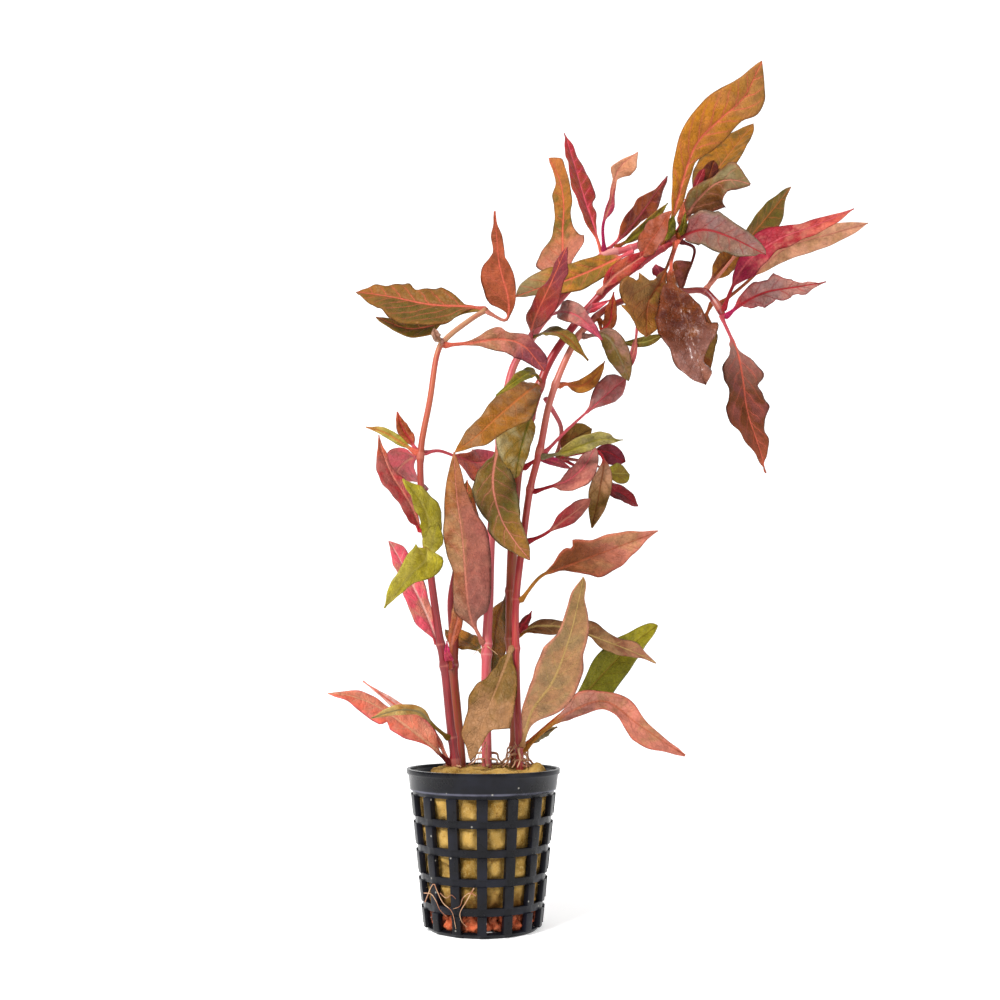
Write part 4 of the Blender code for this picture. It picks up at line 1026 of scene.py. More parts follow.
def object_place(shader):
    """The object coordinates in a shader's tree."""
    return put(shader.id_data, "ShaderNodeTexCoord").outputs["Object"]


def new_group(name, kind, ins, outs):
    """An empty node group, its inputs and its output node; ins and outs map a type of
    socket to labels."""
    tree = bpy.data.node_groups.new(name, kind)
    for way, table in (("INPUT", ins), ("OUTPUT", outs)):
        for sort, labels in table.items():
            for label in labels:
                tree.interface.new_socket(label, in_out=way, socket_type="NodeSocket" + sort)
    given = tree.nodes.new("NodeGroupInput").outputs
    return tree, given, tree.nodes.new("NodeGroupOutput")


# %% [markdown]
# ## Veins
#
# A midrib runs from stalk to tip, and side veins leave it at about half a right angle and
# bend towards the tip. Real veins could be drawn as curves, but then each leaf would need
# dozens. Here a side vein is where the distance along the leaf, less a slope times the
# distance from the midrib, is a whole number of pitches. A little noise keeps the veins
# from looking ruled. Between them is a fine net, from the edges of Voronoi cells.

# %% The vein group
VEIN_WIDTH = 0.5
VEIN_SHIFT = 0.2


def vein_group():
    tree, given, end = new_group(
        "leaf veins", "ShaderNodeTree",
        {"Vector": ["In mm", "In shares"], "Float": ["Pitch", "Width"]},
        {"Float": ["Side veins", "Midrib", "Net", "Halo", "Height"]})
    x, y, _ = axes(given["In mm"])
    x_share, y_share, _ = axes(given["In shares"])
    reach = calc("ABSOLUTE", x)
    along = plus(y, times(reach, -VEIN_SLOPE))
    along = plus(along, times(times(reach, reach), -VEIN_CURVE))
    along = plus(along, times(cloud(given["In mm"], 0.22, 2.0), 3.0))
    count = plus(over(along, given["Pitch"]), times(calc("SIGN", x), VEIN_SHIFT))
    off = times(calc("PINGPONG", count, 0.5), given["Pitch"])
    outward = calc("ABSOLUTE", x_share)
    width = times(given["Width"], ramp(outward, 0.1, 1.0, 1.0, 0.35))
    side = ramp(over(off, width), 0.25, 1.0, 1.0, 0.0)
    side = times(side, ramp(outward, 0.75, 1.0, 1.0, 0.0))
    rib_width = times(ramp(y_share, 0.1, 1.0, 1.5, 0.5), given["Width"])
    rib = ramp(over(reach, rib_width), 0.3, 1.0, 1.0, 0.0)
    cells = put(tree, "ShaderNodeTexVoronoi", {"Vector": given["In mm"], "Scale": 0.75},
                feature="DISTANCE_TO_EDGE")
    net = ramp(cells.outputs["Distance"], 0.0, 0.12, 1.0, 0.0)
    halo = ramp(calc("MINIMUM", off, times(reach, 0.8)), 0.2, 1.7, 1.0, 0.0)
    halo = times(halo, ramp(outward, 0.6, 1.0, 1.0, 0.3))
    height = scaled(calc("MAXIMUM", side, rib), -0.35, times(net, -0.35))
    feed(end, {"Side veins": side, "Midrib": rib, "Net": net, "Halo": halo, "Height": height})
    return tree


VEINS = vein_group()
print("nodes in the vein group:", len(VEINS.nodes))

# %% [markdown]
# ## The leaf's paint
#
# One group paints every leaf. It starts from the blade's tone, lets a second tone break
# through in blotches, tints one half, the base, the tip and the margin, draws the veins,
# and ends with the stalk. A leaf's material only picks the tones and how strong each is.
# The group also gives the roughness, since veins and blotches shine differently.

# %% The paint group
PAINT_TONES = ("Blade", "Second", "Half", "Base", "Tip", "Margin", "Vein", "Stalk")
PAINT_AMOUNTS = ("Blotches", "Half amount", "Base amount", "Tip amount", "Margin amount",
                 "Vein amount", "Stalk share", "Gloss", "Seed", "Base reach", "Tip start")


def paint_group():
    tree, given, end = new_group(
        "leaf paint", "ShaderNodeTree",
        {"Vector": ["In mm", "In shares"], "Color": PAINT_TONES, "Float": PAINT_AMOUNTS},
        {"Color": ["Colour"], "Float": ["Roughness", "Wet", "Height"]})

    def tint(colour, mask, label):
        return blend(times(mask, given[label + " amount"]), colour, given[label])

    across, run, under = axes(given["In shares"])
    veins = put(tree, "ShaderNodeGroup",
                {"In mm": given["In mm"], "In shares": given["In shares"],
                 "Pitch": VEIN_PITCH, "Width": VEIN_WIDTH}, node_tree=VEINS).outputs
    lift = put(tree, "ShaderNodeCombineXYZ", {2: given["Seed"]}).outputs[0]
    where = put(tree, "ShaderNodeVectorMath", {0: given["In mm"], 1: lift},
                operation="ADD").outputs[0]
    patch = cloud(where, 0.13, 3.0, 0.6)
    mottle = cloud(where, 0.30, 3.0, 0.6)
    speck = cloud(where, 1.3, 4.0, 0.65)
    blotch = times(ramp(patch, 0.42, 0.62), given["Blotches"])
    colour = blend(blotch, given["Blade"], given["Second"])
    ragged = scaled(patch, 0.5, -0.25)
    colour = tint(colour, ramp(plus(across, ragged), -0.12, 0.16), "Half")
    along = plus(run, times(ragged, 0.8))
    near = minus(minus(along, given["Stalk share"]), given["Base reach"])
    colour = tint(colour, ramp(near, -0.4, 0.0, 1.0, 0.0), "Base")
    colour = tint(colour, ramp(minus(along, given["Tip start"]), 0.0, 0.3), "Tip")
    outward = plus(calc("ABSOLUTE", across), times(ragged, 0.5))
    colour = tint(colour, ramp(outward, 0.72, 0.98), "Margin")
    shade = times(scaled(speck, 0.35, 0.83), ramp(mottle, 0.25, 0.7, 0.76, 1.16))
    shade = times(shade, ramp(outward, 0.9, 1.0, 1.0, 0.9))
    colour = put(tree, "ShaderNodeVectorMath", {0: colour, 3: shade},
                 operation="SCALE").outputs[0]
    amount = given["Vein amount"]
    colour = blend(times(times(veins["Halo"], amount), 0.2), colour, given["Vein"])
    drawn = calc("MAXIMUM", veins["Side veins"], times(veins["Net"], 0.16))
    drawn = times(times(drawn, amount), ramp(mottle, 0.25, 0.55, 0.5, 1.0))
    rib = times(veins["Midrib"], ramp(amount, 0.0, 0.5, 0.35, 0.95))
    colour = blend(calc("MAXIMUM", drawn, rib), colour, given["Vein"])
    stalk = ramp(minus(run, given["Stalk share"]), -0.03, 0.07, 1.0, 0.0)
    colour = blend(stalk, colour, given["Stalk"])
    colour = blend(times(under, 0.08), colour, blend(0.5, colour, "dusty"))
    rough = minus(scaled(patch, 0.25, 0.42), times(given["Gloss"], 0.3))
    rough = plus(rough, times(under, 0.12))
    height = scaled(mottle, 1.6, scaled(speck, 0.5, veins["Height"]))
    wet = times(ramp(mottle, 0.48, 0.62), ramp(given["Gloss"], 0.25, 0.8))
    wet = times(wet, ramp(patch, 0.45, 0.6, 0.3, 1.0))
    feed(end, {"Colour": colour, "Roughness": rough, "Wet": wet, "Height": height})
    return tree


PAINT = paint_group()
print("nodes in the paint group:", len(PAINT.nodes))

# %% [markdown]
# ## One material for each leaf
#
# It reads where a point lies on the leaf from two attributes of the mesh, hands that and
# the leaf's tones and amounts to the group, and feeds the shader with what comes back.


# %% A leaf's material
def leaf_material(name, paint, stalk_share, seed):
    material, shader = new_material(name)
    group = put(shader.id_data, "ShaderNodeGroup", node_tree=PAINT)
    for label, attribute in (("In mm", "leaf_mm"), ("In shares", "leaf_share")):
        source = put(shader.id_data, "ShaderNodeAttribute", attribute_name=attribute)
        feed(group, {label: source.outputs["Vector"]})
    for label in PAINT_TONES:
        red, green, blue, alpha = tone(paint.get(label, paint["Blade"]))
        # The tones are scaled by the leaf's light number, which is partly painted light and shade;
        # the veins take its square root.
        light = math.sqrt(paint["Light"]) if label == "Vein" else paint["Light"]
        feed(group, {label: (red * light, green * light, blue * light, alpha)})
    feed(group, {label: paint.get(label, 0.0) for label in PAINT_AMOUNTS})
    feed(group, {"Stalk share": stalk_share, "Seed": seed * 7.0})
    made = group.outputs
    feed(shader, {"Base Color": made["Colour"], "Roughness": made["Roughness"],
                  "Coat Weight": made["Wet"], "Normal": relief(made["Height"], 0.8, 0.0005),
                  "Coat Roughness": 0.25, "Specular IOR Level": paint["Shine"]})
    return material


# %% [markdown]
# ## Which tones each leaf has
#
# The rows below are read off the plant, leaf by leaf. A row has the tones of the blade,
# the blotches, the veins and the stalk, the strength of the veins, and then only what
# that leaf shows: how light or glossy it is, and a tinted half, base, tip or margin with
# the tint's strength. The lightness is partly the leaf's own and partly painted light and
# shade: it lightens leaves that lie in shade and darkens those that face the key lamp.
# Reach and start say where the base's tint ends and the tip's begins.


# %% The leaves' paints
def paint(blade, second, vein, stalk, veins=0.6, blotches=0.8, gloss=0.3, light=1.0,
          reach=0.42, start=0.62, shine=0.14, **more):
    """A leaf's paint; half, base, tip and margin each give a tone and an amount."""
    # The light number scales every tone: the leaf's own lightness, and painted light and shade that
    # lighten leaves lying in shade and darken those facing the key lamp.
    row = {"Blade": blade, "Second": second, "Vein": vein, "Stalk": stalk,
           "Vein amount": veins, "Blotches": blotches, "Gloss": gloss, "Light": light,
           "Base reach": reach, "Tip start": start, "Shine": shine}
    for key, (name, amount) in more.items():
        label = key.capitalize()
        row[label] = name
        row[label + " amount"] = amount
    return row


PAINTS = {
    "leaf_left_top": paint("olive", "moss", "coral", "coral", 0.7, light=0.66, half=("ochre", 0.5),
        tip=("ochre", 0.6), margin=("ochre", 0.6)),
    "leaf_left_upright": paint("terracotta", "russet", "coral", "salmon", 0.35, light=0.72),
    "leaf_left_salmon": paint("salmon", "tan", "coral", "coral", 0.3, light=0.7, base=("tan", 0.5),
        start=0.5, tip=("purple", 0.95)),
    "leaf_pair_red": paint("russet", "crimson", "coral", "pink", 0.5, light=0.75, start=0.45,
        half=("crimson", 0.4), tip=("purple", 0.8)),
    "leaf_long_olive": paint("olive", "ochre", "coral", "pink", 0.4, light=1.25,
        tip=("grey_olive", 0.9)),
    "leaf_crimson_upright": paint("crimson", "russet", "hot_pink", "coral", 0.7,
        base=("russet", 0.5), tip=("crimson", 0.6)),
    "leaf_tall_orange": paint("ochre", "moss", "coral", "pink", 0.4, light=0.84,
        base=("salmon", 0.9), tip=("orange", 0.7)),
    "leaf_pink_flag": paint("orange", "peach", "salmon", "magenta", 0.4, light=0.85, reach=0.5,
        base=("magenta", 0.9), tip=("peach", 0.8)),
    "leaf_brown_red": paint("russet", "wine", "pink", "pink", 0.35, light=1.35, tip=("wine", 0.6)),
    "leaf_terracotta": paint("terracotta", "salmon", "coral", "coral", 0.1, light=0.66),
    "leaf_top_large": paint("gold", "orange", "coral", "ochre", 0.75, light=0.84, blotches=0.4,
        half=("olive", 0.25), tip=("grey_olive", 0.3)),
    "leaf_top_behind": paint("gold", "olive", "orange", "russet", 0.5, light=0.72, reach=0.35,
        base=("dark_brown", 0.8)),
    "leaf_top_curled": paint("olive", "grey_olive", "salmon", "brown", 0.3, light=0.82, reach=0.3,
        base=("dark_brown", 0.6), half=("brown", 0.75), tip=("grey_olive", 0.6),
        margin=("crimson", 0.3)),
    "leaf_mauve_grey": paint("dusty", "grey_mauve", "crimson", "pink", 0.4, light=0.68,
        base=("pink", 0.4), half=("grey_olive", 0.3), margin=("grey_olive", 0.6)),
    "leaf_right_olive": paint("olive", "moss", "orange", "salmon", 0.7, light=1.1,
        base=("dark_olive", 0.6)),
    "leaf_right_crimson": paint("crimson", "salmon", "pink", "crimson", 0.4, light=0.84,
        base=("magenta", 0.6), tip=("coral", 0.8)),
    "leaf_right_peach": paint("peach", "tan", "salmon", "russet", 0.3),
    "leaf_right_mauve": paint("dusty", "grey_mauve", "crimson", "magenta", 0.5, light=1.1,
        base=("crimson", 0.9), margin=("crimson", 0.4)),
    "leaf_hanging_tip": paint("brown", "mauve", "coral", "pink", 0.45, light=0.8,
        base=("dusty", 1.0), tip=("russet", 0.7)),
    "leaf_glossy_brown": paint("brown", "dark_brown", "brown", "coral", 0.15, light=0.95, gloss=0.9,
        shine=0.2, base=("russet", 0.4), half=("dark_brown", 0.6), tip=("dusty", 0.5),
        margin=("russet", 0.3)),
    "leaf_brown_behind": paint("brown", "olive", "russet", "russet", 0.4, light=0.9),
    "leaf_crinkled": paint("brown", "olive", "russet", "russet", 0.4, light=0.85,
        half=("tan", 0.35), tip=("ochre", 0.5), margin=("ochre", 0.4)),
    "leaf_dusty_pink": paint("dusty", "salmon", "pink", "pink", 0.4, light=0.88,
        tip=("magenta", 0.8)),
    "leaf_green_small": paint("olive", "moss", "russet", "olive", 0.3),
    "leaf_ochre_large": paint("ochre", "tan", "orange", "ochre", 0.4, light=0.75, base=("tan", 0.6),
        margin=("olive", 0.3)),
    "leaf_magenta_left": paint("mauve", "terracotta", "pink", "pink", 0.3, light=1.12,
        tip=("magenta", 0.5)),
    "leaf_dark_hanging": paint("olive", "moss", "salmon", "coral", 0.45, light=0.8,
        margin=("grey_olive", 0.5), tip=("ochre", 0.5)),
    "leaf_green_behind": paint("olive", "grey_olive", "moss", "olive", 0.4, light=1.6,
        blotches=1.0),
    "leaf_mauve_large": paint("tan", "russet", "salmon", "salmon", 0.3, light=0.82,
        half=("mauve", 0.8), tip=("ochre", 0.5), base=("dusty", 0.6)),
    "leaf_lime_upper": paint("lime", "yellow_green", "yellow_green", "olive", 0.2, light=1.3,
        blotches=0.4),
    "leaf_lime_lower": paint("lime", "yellow_green", "yellow_green", "olive", 0.2, light=1.4,
        blotches=0.5),
    "leaf_hot_pink": paint("hot_pink", "salmon", "blush", "crimson", 0.3, light=1.02, blotches=1.0,
        tip=("pink", 0.3)),
    "leaf_purple_left": paint("mauve", "crimson", "salmon", "crimson", 0.3, light=1.2,
        tip=("terracotta", 0.9)),
    "leaf_crimson_left": paint("pink", "mauve", "salmon", "pink", 0.4, light=0.9),
    "leaf_tan_large": paint("tan", "grey_olive", "straw", "tan", 0.3, blotches=0.5,
        margin=("salmon", 0.7), base=("peach", 0.5), tip=("olive", 0.4)),
    "leaf_salmon_brown": paint("salmon", "tan", "terracotta", "ochre", 0.2, light=0.92, reach=0.6,
        base=("brown", 0.95), margin=("coral", 0.4)),
    "leaf_brown_narrow": paint("tan", "brown", "straw", "ochre", 0.4, light=0.75,
        base=("brown", 0.6), tip=("salmon", 0.6)),
    "leaf_green_low": paint("moss", "moss", "olive", "russet", 0.2, light=1.5, shine=0.05,
        tip=("lime", 0.7)),
    "leaf_pink_low": paint("salmon", "tan", "terracotta", "ochre", 0.2, light=0.88,
        base=("dusty", 0.9), margin=("coral", 0.5)),
    "leaf_tan_low": paint("tan", "olive", "tan", "tan", 0.3, light=0.8, reach=0.5,
        base=("olive", 0.9), margin=("ochre", 0.3), tip=("tan", 0.8)),
    "leaf_olive_low": paint("ochre", "moss", "olive", "olive", 0.4, light=1.15),
    "leaf_dark_between": paint("ochre", "moss", "brown", "brown", 0.4, light=0.62),
    "leaf_back_tip": paint("olive", "russet", "coral", "crimson", 0.4, light=1.2),
    "leaf_coral_low": paint("coral", "salmon", "peach", "wine", 0.4, light=1.05,
        half=("peach", 0.3), margin=("hot_pink", 0.5)),
    "leaf_mauve_cup": paint("mauve", "grey_mauve", "pink", "pink", 0.4, half=("crimson", 0.2),
        tip=("mauve", 0.4)),
    "leaf_olive_fold": paint("olive", "dusty", "grey_olive", "dusty", 0.25, light=0.75),
    "leaf_pale_green": paint("yellow_green", "grey_olive", "lime", "grey_olive", 0.2, light=0.75,
        margin=("straw", 0.4), base=("olive", 0.6)),
    "leaf_salmon_mauve": paint("mauve", "salmon", "pink", "crimson", 0.3, light=0.8,
        tip=("dusty", 0.8)),
    "leaf_olive_hanging": paint("olive", "tan", "brown", "crimson", 0.3, base=("dusty", 0.5)),
    "leaf_crimson_small": paint("mauve", "crimson", "salmon", "crimson", 0.4, light=0.85,
        tip=("salmon", 0.6)),
    "leaf_wine": paint("wine", "crimson", "crimson", "crimson", 0.4, light=0.85,
        tip=("crimson", 0.5)),
    "young_olive_upper": paint("olive", "moss", "lime", "russet", 0.3, margin=("orange", 0.5)),
    "young_terracotta": paint("terracotta", "salmon", "coral", "coral", 0.2),
    "young_olive_bud": paint("moss", "olive", "lime", "russet", 0.2),
    "young_ochre_behind": paint("ochre", "brown", "russet", "salmon", 0.4),
    "old_grey_hanging": paint("brown", "mauve", "dark_brown", "wine", 0.2, light=0.95),
    "young_russet_pair": paint("russet", "brown", "crimson", "russet", 0.4),
    "young_red_pair": paint("crimson", "pink", "hot_pink", "pink", 0.4),
    "old_tan_back": paint("terracotta", "tan", "salmon", "terracotta", 0.3),
    "young_russet_left": paint("russet", "terracotta", "crimson", "pink", 0.3),
    "young_yellow_left": paint("yellow_green", "lime", "orange", "coral", 0.3, tip=("orange", 0.6)),
    "young_dark_middle": paint("wine", "crimson", "crimson", "crimson", 0.3),
    "old_pink_low": paint("blush", "salmon", "coral", "salmon", 0.5),
    "old_yellow_low": paint("straw", "ochre", "grey_olive", "olive", 0.4, base=("olive", 0.5)),
    "young_ochre_curl": paint("ochre", "brown", "russet", "terracotta", 0.3),
    "old_brown_middle": paint("brown", "olive", "dark_olive", "brown", 0.4),
    "young_lime_middle": paint("lime", "olive", "yellow_green", "mauve", 0.2),
    "young_maroon_upper": paint("wine", "purple", "crimson", "crimson", 0.3),
    "young_magenta_middle": paint("magenta", "mauve", "pink", "crimson", 0.3),
    "old_olive_left": paint("olive", "moss", "coral", "olive", 0.4, light=1.1,
        margin=("ochre", 0.4)),
    "old_bract": paint("grey_olive", "olive", "dark_brown", "brown", 0.3),
    "old_brown_top": paint("dark_brown", "brown", "russet", "wine", 0.3),
    "young_red_top": paint("maroon", "crimson", "pink", "pink", 0.3),
    "young_olive_right": paint("moss", "olive", "lime", "russet", 0.2, margin=("ochre", 0.4)),
    "old_crimson_scrap": paint("purple", "crimson", "pink", "wine", 0.3),
    "old_olive_strip": paint("olive", "moss", "yellow_green", "dusty", 0.3),
    "young_pink_hanging": paint("pink", "mauve", "salmon", "pink", 0.3),
    "young_magenta_foot": paint("magenta", "hot_pink", "pink", "magenta", 0.3),
    "young_lime_between": paint("lime", "yellow_green", "yellow_green", "olive", 0.2, light=1.35,
        blotches=0.5),
    "young_moss_edge": paint("moss", "olive", "lime", "russet", 0.2, light=1.2,
        margin=("lime", 0.4)),
    "young_salmon_between": paint("crimson", "terracotta", "salmon", "salmon", 0.4),
    "old_grey_curl": paint("grey_olive", "dusty", "brown", "dusty", 0.2, light=0.95),
}
print("leaves without a paint:", [name for name in ALL_LEAVES if name not in PAINTS])

# %% [markdown]
# ## Growing the leaves
#
# Each leaf is skinned, painted and put in place of its solid. A large leaf's slot is looked
# up in the record and a small one's is sorted by its main tone, but the slot is not used.

# %% Grow them
SLOTS = {
    "leaf_olive": ("lime", "moss", "yellow_green", "olive", "grey_olive", "straw", "ochre"),
    "leaf_crimson": ("crimson", "maroon", "wine", "magenta", "pink", "blush"),
    "leaf_mauve": ("purple",),
    "leaf_russet": ("russet", "brown", "dark_brown", "terracotta"),
}


RECORD_SLOTS = {part["node"]: part["material_slot"] for part in frame["record"]["subparts"]}


def leaf_slot(name):
    """A large leaf's slot from the record, or a small leaf's from its blade's tone."""
    if name in RECORD_SLOTS:
        return RECORD_SLOTS[name]
    return next(slot for slot, tones in SLOTS.items() if PAINTS[name]["Blade"] in tones)


def grow_leaf(name, row, seed):
    shape = {**PLAIN_SHAPE, **SHAPES.get(name, {})}
    rings, in_mm, in_shares = leaf_rings(name, row, shape, seed)
    material = leaf_material(name, PAINTS[name], stalk_share(name, row), seed)
    piece_name = name.replace("leaf_", "blade_") if name in LEAVES else name
    piece = skin(piece_name, rings, {"leaf_mm": in_mm, "leaf_share": in_shares}, material)
    nodes = (name,) if name in LEAVES else ()
    return settle(piece, leaf_slot(name), *nodes)


corners = 0
for seed, (name, row) in enumerate(ALL_LEAVES.items()):
    corners += len(grow_leaf(name, row, seed).data.vertices)
print("corners in all leaves:", corners)

# %% [markdown]
# ## Stems
#
# The stems are round and grooved, a little thicker at each node where leaves leave them.
# The nodes are found from the leaves: each leaf knows where its stalk meets the stem. The
# colour changes along a stem and is streaked lengthwise, and the nodes are paler.

# %% Stem rings
STEM_SIDES = 20
NODE_SPREAD = 1.2
NODE_SWELL = 0.26
STEM_GROOVE = 0.035
STEM_STRANDS = 5


def node_places(stem_name):
    """How far along a stem its leaves leave it, in mm."""
    places = COURSES[stem_name][0]
    step = path_length(places) / MM / (len(places) - 1)
    found = set()
    for row in ALL_LEAVES.values():
        if row[0] != stem_name:
            continue
        centre = leaf_course(row)[1]
        nearest = min(range(len(places)), key=lambda i: (places[i] - centre).length)
        found.add(round(nearest * step, 1))
    return sorted(found)


def tube_rings(places, radii, sides, groove=0.0):
    """Round rings along a path, each turned with the path's bends, with their angles."""
    rings, angles = [], []
    way = (places[1] - places[0]).normalized()
    across = way.orthogonal().normalized()
    for index, place in enumerate(places):
        before, after = places[max(index - 1, 0)], places[min(index + 1, len(places) - 1)]
        new_way = (after - before).normalized()
        across = (way.rotation_difference(new_way) @ across).normalized()
        way = new_way
        other = way.cross(across)
        ring = []
        for side in range(sides):
            angle = 2 * math.pi * side / sides
            radius = radii[index] * (1 + groove * math.cos(STEM_STRANDS * angle))
            ring.append(place + (across * math.cos(angle) + other * math.sin(angle)) * radius)
            angles.append(angle)
        rings.append(ring)
    return rings, angles


# %% [markdown]
# ## The stem's paint
#
# The stem group reads the angle round the stem and the way along it in mm. Noise that is
# stretched lengthwise makes the streaks, and a mask from the mesh marks the nodes.

# %% The stem group and its material
STEM_PARTS = ("Foot", "Top", "Streak", "Node", "Tip")

# The tones of each stem's foot, top, streaks, nodes and tip, and where the tip starts.
STEM_TONES = {
    "stem_left": ("maroon", "terracotta", "crimson", "salmon", "tan", 0.84),
    "stem_left_back": ("russet", "maroon", "crimson", "blush", "maroon", 0.9),
    "stem_middle": ("pink", "pink", "salmon", "blush", "pink", 0.9),
    "stem_main": ("russet", "crimson", "crimson", "salmon", "crimson", 0.9),
    "stem_slender": ("crimson", "salmon", "terracotta", "salmon", "maroon", 0.7),
    "side_shoot": ("pink", "salmon", "pink", "salmon", "salmon", 0.9),
}


def stem_group():
    tree, given, end = new_group(
        "stem paint", "ShaderNodeTree",
        {"Vector": ["In mm"], "Color": STEM_PARTS, "Float": ["Tip start", "Length"]},
        {"Color": ["Colour"], "Float": ["Roughness", "Height"]})
    angle, run, swell = axes(given["In mm"])
    along = over(run, given["Length"])
    around = put(tree, "ShaderNodeCombineXYZ", {0: times(calc("COSINE", angle), 1.6),
                                                1: times(calc("SINE", angle), 1.6),
                                                2: times(run, 0.07)}).outputs[0]
    streak = cloud(around, 1.5, 4.0, 0.6)
    share = plus(along, scaled(cloud(given["In mm"], 0.05, 2.0), 0.4, -0.2))
    colour = blend(ramp(share, 0.35, 0.8), given["Foot"], given["Top"])
    colour = blend(ramp(minus(along, given["Tip start"]), 0.0, 0.06), colour, given["Tip"])
    colour = blend(ramp(streak, 0.45, 0.68, 0.0, 0.75), colour, given["Streak"])
    ring = ramp(scaled(streak, 0.5, swell), 0.95, 1.3, 0.0, 0.4)
    colour = blend(ring, colour, given["Node"])
    feed(end, {"Colour": colour, "Roughness": scaled(streak, 0.25, 0.28), "Height": streak})
    return tree


STEM_PAINT = stem_group()


def stem_material(name, length):
    material, shader = new_material(name)
    *tones, tip_start = STEM_TONES[name]
    source = put(shader.id_data, "ShaderNodeAttribute", attribute_name="stem_mm")
    group = put(shader.id_data, "ShaderNodeGroup",
                {"In mm": source.outputs["Vector"], "Tip start": tip_start,
                 "Length": length}, node_tree=STEM_PAINT)
    feed(group, {label: tone(name) for label, name in zip(STEM_PARTS, tones)})
    made = group.outputs
    feed(shader, {"Base Color": made["Colour"], "Roughness": made["Roughness"],
                  "Normal": relief(made["Height"], 0.3, 0.0003)})
    return material


# %% [markdown]
# ## Growing the stems
#
# Each ring is swollen by the nodes near it. The mesh carries the angle round the stem, the
# way along it and the swelling.


# %% Grow the stems
def grow_stem(name):
    places, radii = COURSES[name]
    length = path_length(places) / MM
    step = length / (len(places) - 1)
    nodes = node_places(name)
    swell = [max([bump(index * step - at, NODE_SPREAD) for at in nodes] + [0.0])
             for index in range(len(places))]
    widths = [radius * (1 + NODE_SWELL * hill) for radius, hill in zip(radii, swell)]
    rings, angles = tube_rings(places, widths, STEM_SIDES, STEM_GROOVE)
    marks = [(angles[index], index // STEM_SIDES * step, swell[index // STEM_SIDES])
             for index in range(len(angles))]
    material = stem_material(name, length)
    piece = skin(name.replace("stem", "stalk").replace("side_shoot", "side_stalk"), rings,
                 {"stem_mm": marks}, material)
    return settle(piece, "stem", name), len(nodes)


for name in STEMS:
    stalk, count = grow_stem(name)
    print(stalk.name, "has", count, "nodes")


# %% [markdown]
# ## The net pot
#
# The pot is one moulding: a cup whose wall is pierced by rows of square holes, with a
# plain band and a lip above them. Between one hole and the next the wall stands proud. A
# grid is rolled into the cup, its holes are taken out, Solidify gives it a wall and Bevel
# rounds the moulded edges.

# %% The pot's sizes
POT_HEIGHT = 0.050
LIP_RADIUS = 0.0253
LIP_HEIGHT = 0.0014
BAND_TOP_RADIUS = 0.0247
BAND_BOTTOM_RADIUS = 0.0241
BAND_HEIGHT = 0.0066
BODY_FOOT_RADIUS = 0.0185
BODY_SLOPE = 0.111
FOOT_RADIUS = 0.0177
WALL = 0.0011
RIB_PROUD = 0.0008
COLUMNS = 15
ROWS = 5
ROW_PITCH = 0.0088
HOLE_HEIGHT = 0.0065
TOP_HOLE_Z = 0.0420
LOWEST_HOLE_Z = 0.0012
HOLE_SHARE = 0.65
SLOT_RADII = (0.0145, 0.0080)
CELL_STEPS = 4
MERGE = 0.00001
COLUMN = 2 * math.pi / COLUMNS
RIB = COLUMN * (1 - HOLE_SHARE)


def body_radius(z):
    return BODY_FOOT_RADIUS + BODY_SLOPE * z


def pot_levels():
    """Heights and radii of the outer skin, top to bottom, and which bands have holes."""
    band_top = POT_HEIGHT - LIP_HEIGHT
    band_bottom = POT_HEIGHT - BAND_HEIGHT
    levels = [(POT_HEIGHT, LIP_RADIUS), (band_top, LIP_RADIUS),
              (band_top - 0.0006, BAND_TOP_RADIUS), (band_bottom, BAND_BOTTOM_RADIUS),
              (band_bottom - 0.0004, body_radius(band_bottom))]
    pierced = set()
    for row in range(ROWS):
        top = TOP_HOLE_Z - row * ROW_PITCH
        bottom = max(top - HOLE_HEIGHT, LOWEST_HOLE_Z)
        pierced.add(len(levels))
        levels += [(top, body_radius(top)), (bottom, body_radius(bottom))]
    levels += [(0.0, FOOT_RADIUS), (0.0, SLOT_RADII[0]), (0.0, SLOT_RADII[1])]
    return levels, pierced


def pot_angles():
    """The angles round the pot, with one rib at the very front, in steps small enough
    to look round; and for each step whether it lies in a hole's column."""
    angles, open_steps = [], []
    for index in range(COLUMNS):
        start = -math.pi / 2 - RIB / 2 + index * COLUMN
        for first, span, is_open in ((start, RIB, False), (start + RIB, COLUMN - RIB, True)):
            for step in range(CELL_STEPS):
                angles.append(first + span * step / CELL_STEPS)
                open_steps.append(is_open)
    return angles + [angles[0] + 2 * math.pi], open_steps


def pot_skin():
    levels, pierced = pot_levels()
    angles, open_steps = pot_angles()
    bands, sides = len(levels) - 1, len(angles) - 1
    cup = bmesh.new()
    bmesh.ops.create_grid(cup, x_segments=sides, y_segments=bands, size=0.5)
    places = {vertex: (round((vertex.co.x + 0.5) * sides), round((0.5 - vertex.co.y) * bands))
              for vertex in cup.verts}
    openings = []
    for face in cup.faces:
        side = min(places[vertex][0] for vertex in face.verts)
        band = min(places[vertex][1] for vertex in face.verts)
        if open_steps[side] and (band in pierced or band == bands - 1):
            openings.append(face)
    bmesh.ops.delete(cup, geom=openings, context="FACES_ONLY")
    for vertex, (side, level) in places.items():
        z, radius = levels[level]
        vertex.co = (radius * math.cos(angles[side]), radius * math.sin(angles[side]), z)
    bmesh.ops.remove_doubles(cup, verts=cup.verts[:], dist=MERGE)
    hub = [edge for edge in cup.edges if len(edge.link_faces) < 2
           and all(vertex.co.xy.length < SLOT_RADII[1] + MERGE and vertex.co.z < MERGE
                   for vertex in edge.verts)]
    bmesh.ops.contextual_create(cup, geom=hub)
    bmesh.ops.recalc_face_normals(cup, faces=cup.faces[:])
    mesh = bpy.data.meshes.new("net")
    cup.to_mesh(mesh)
    cup.free()
    return mesh


def as_mesh(source):
    """The object's mesh as its modifiers leave it."""
    graph = bpy.context.evaluated_depsgraph_get()
    return bpy.data.meshes.new_from_object(source.evaluated_get(graph))


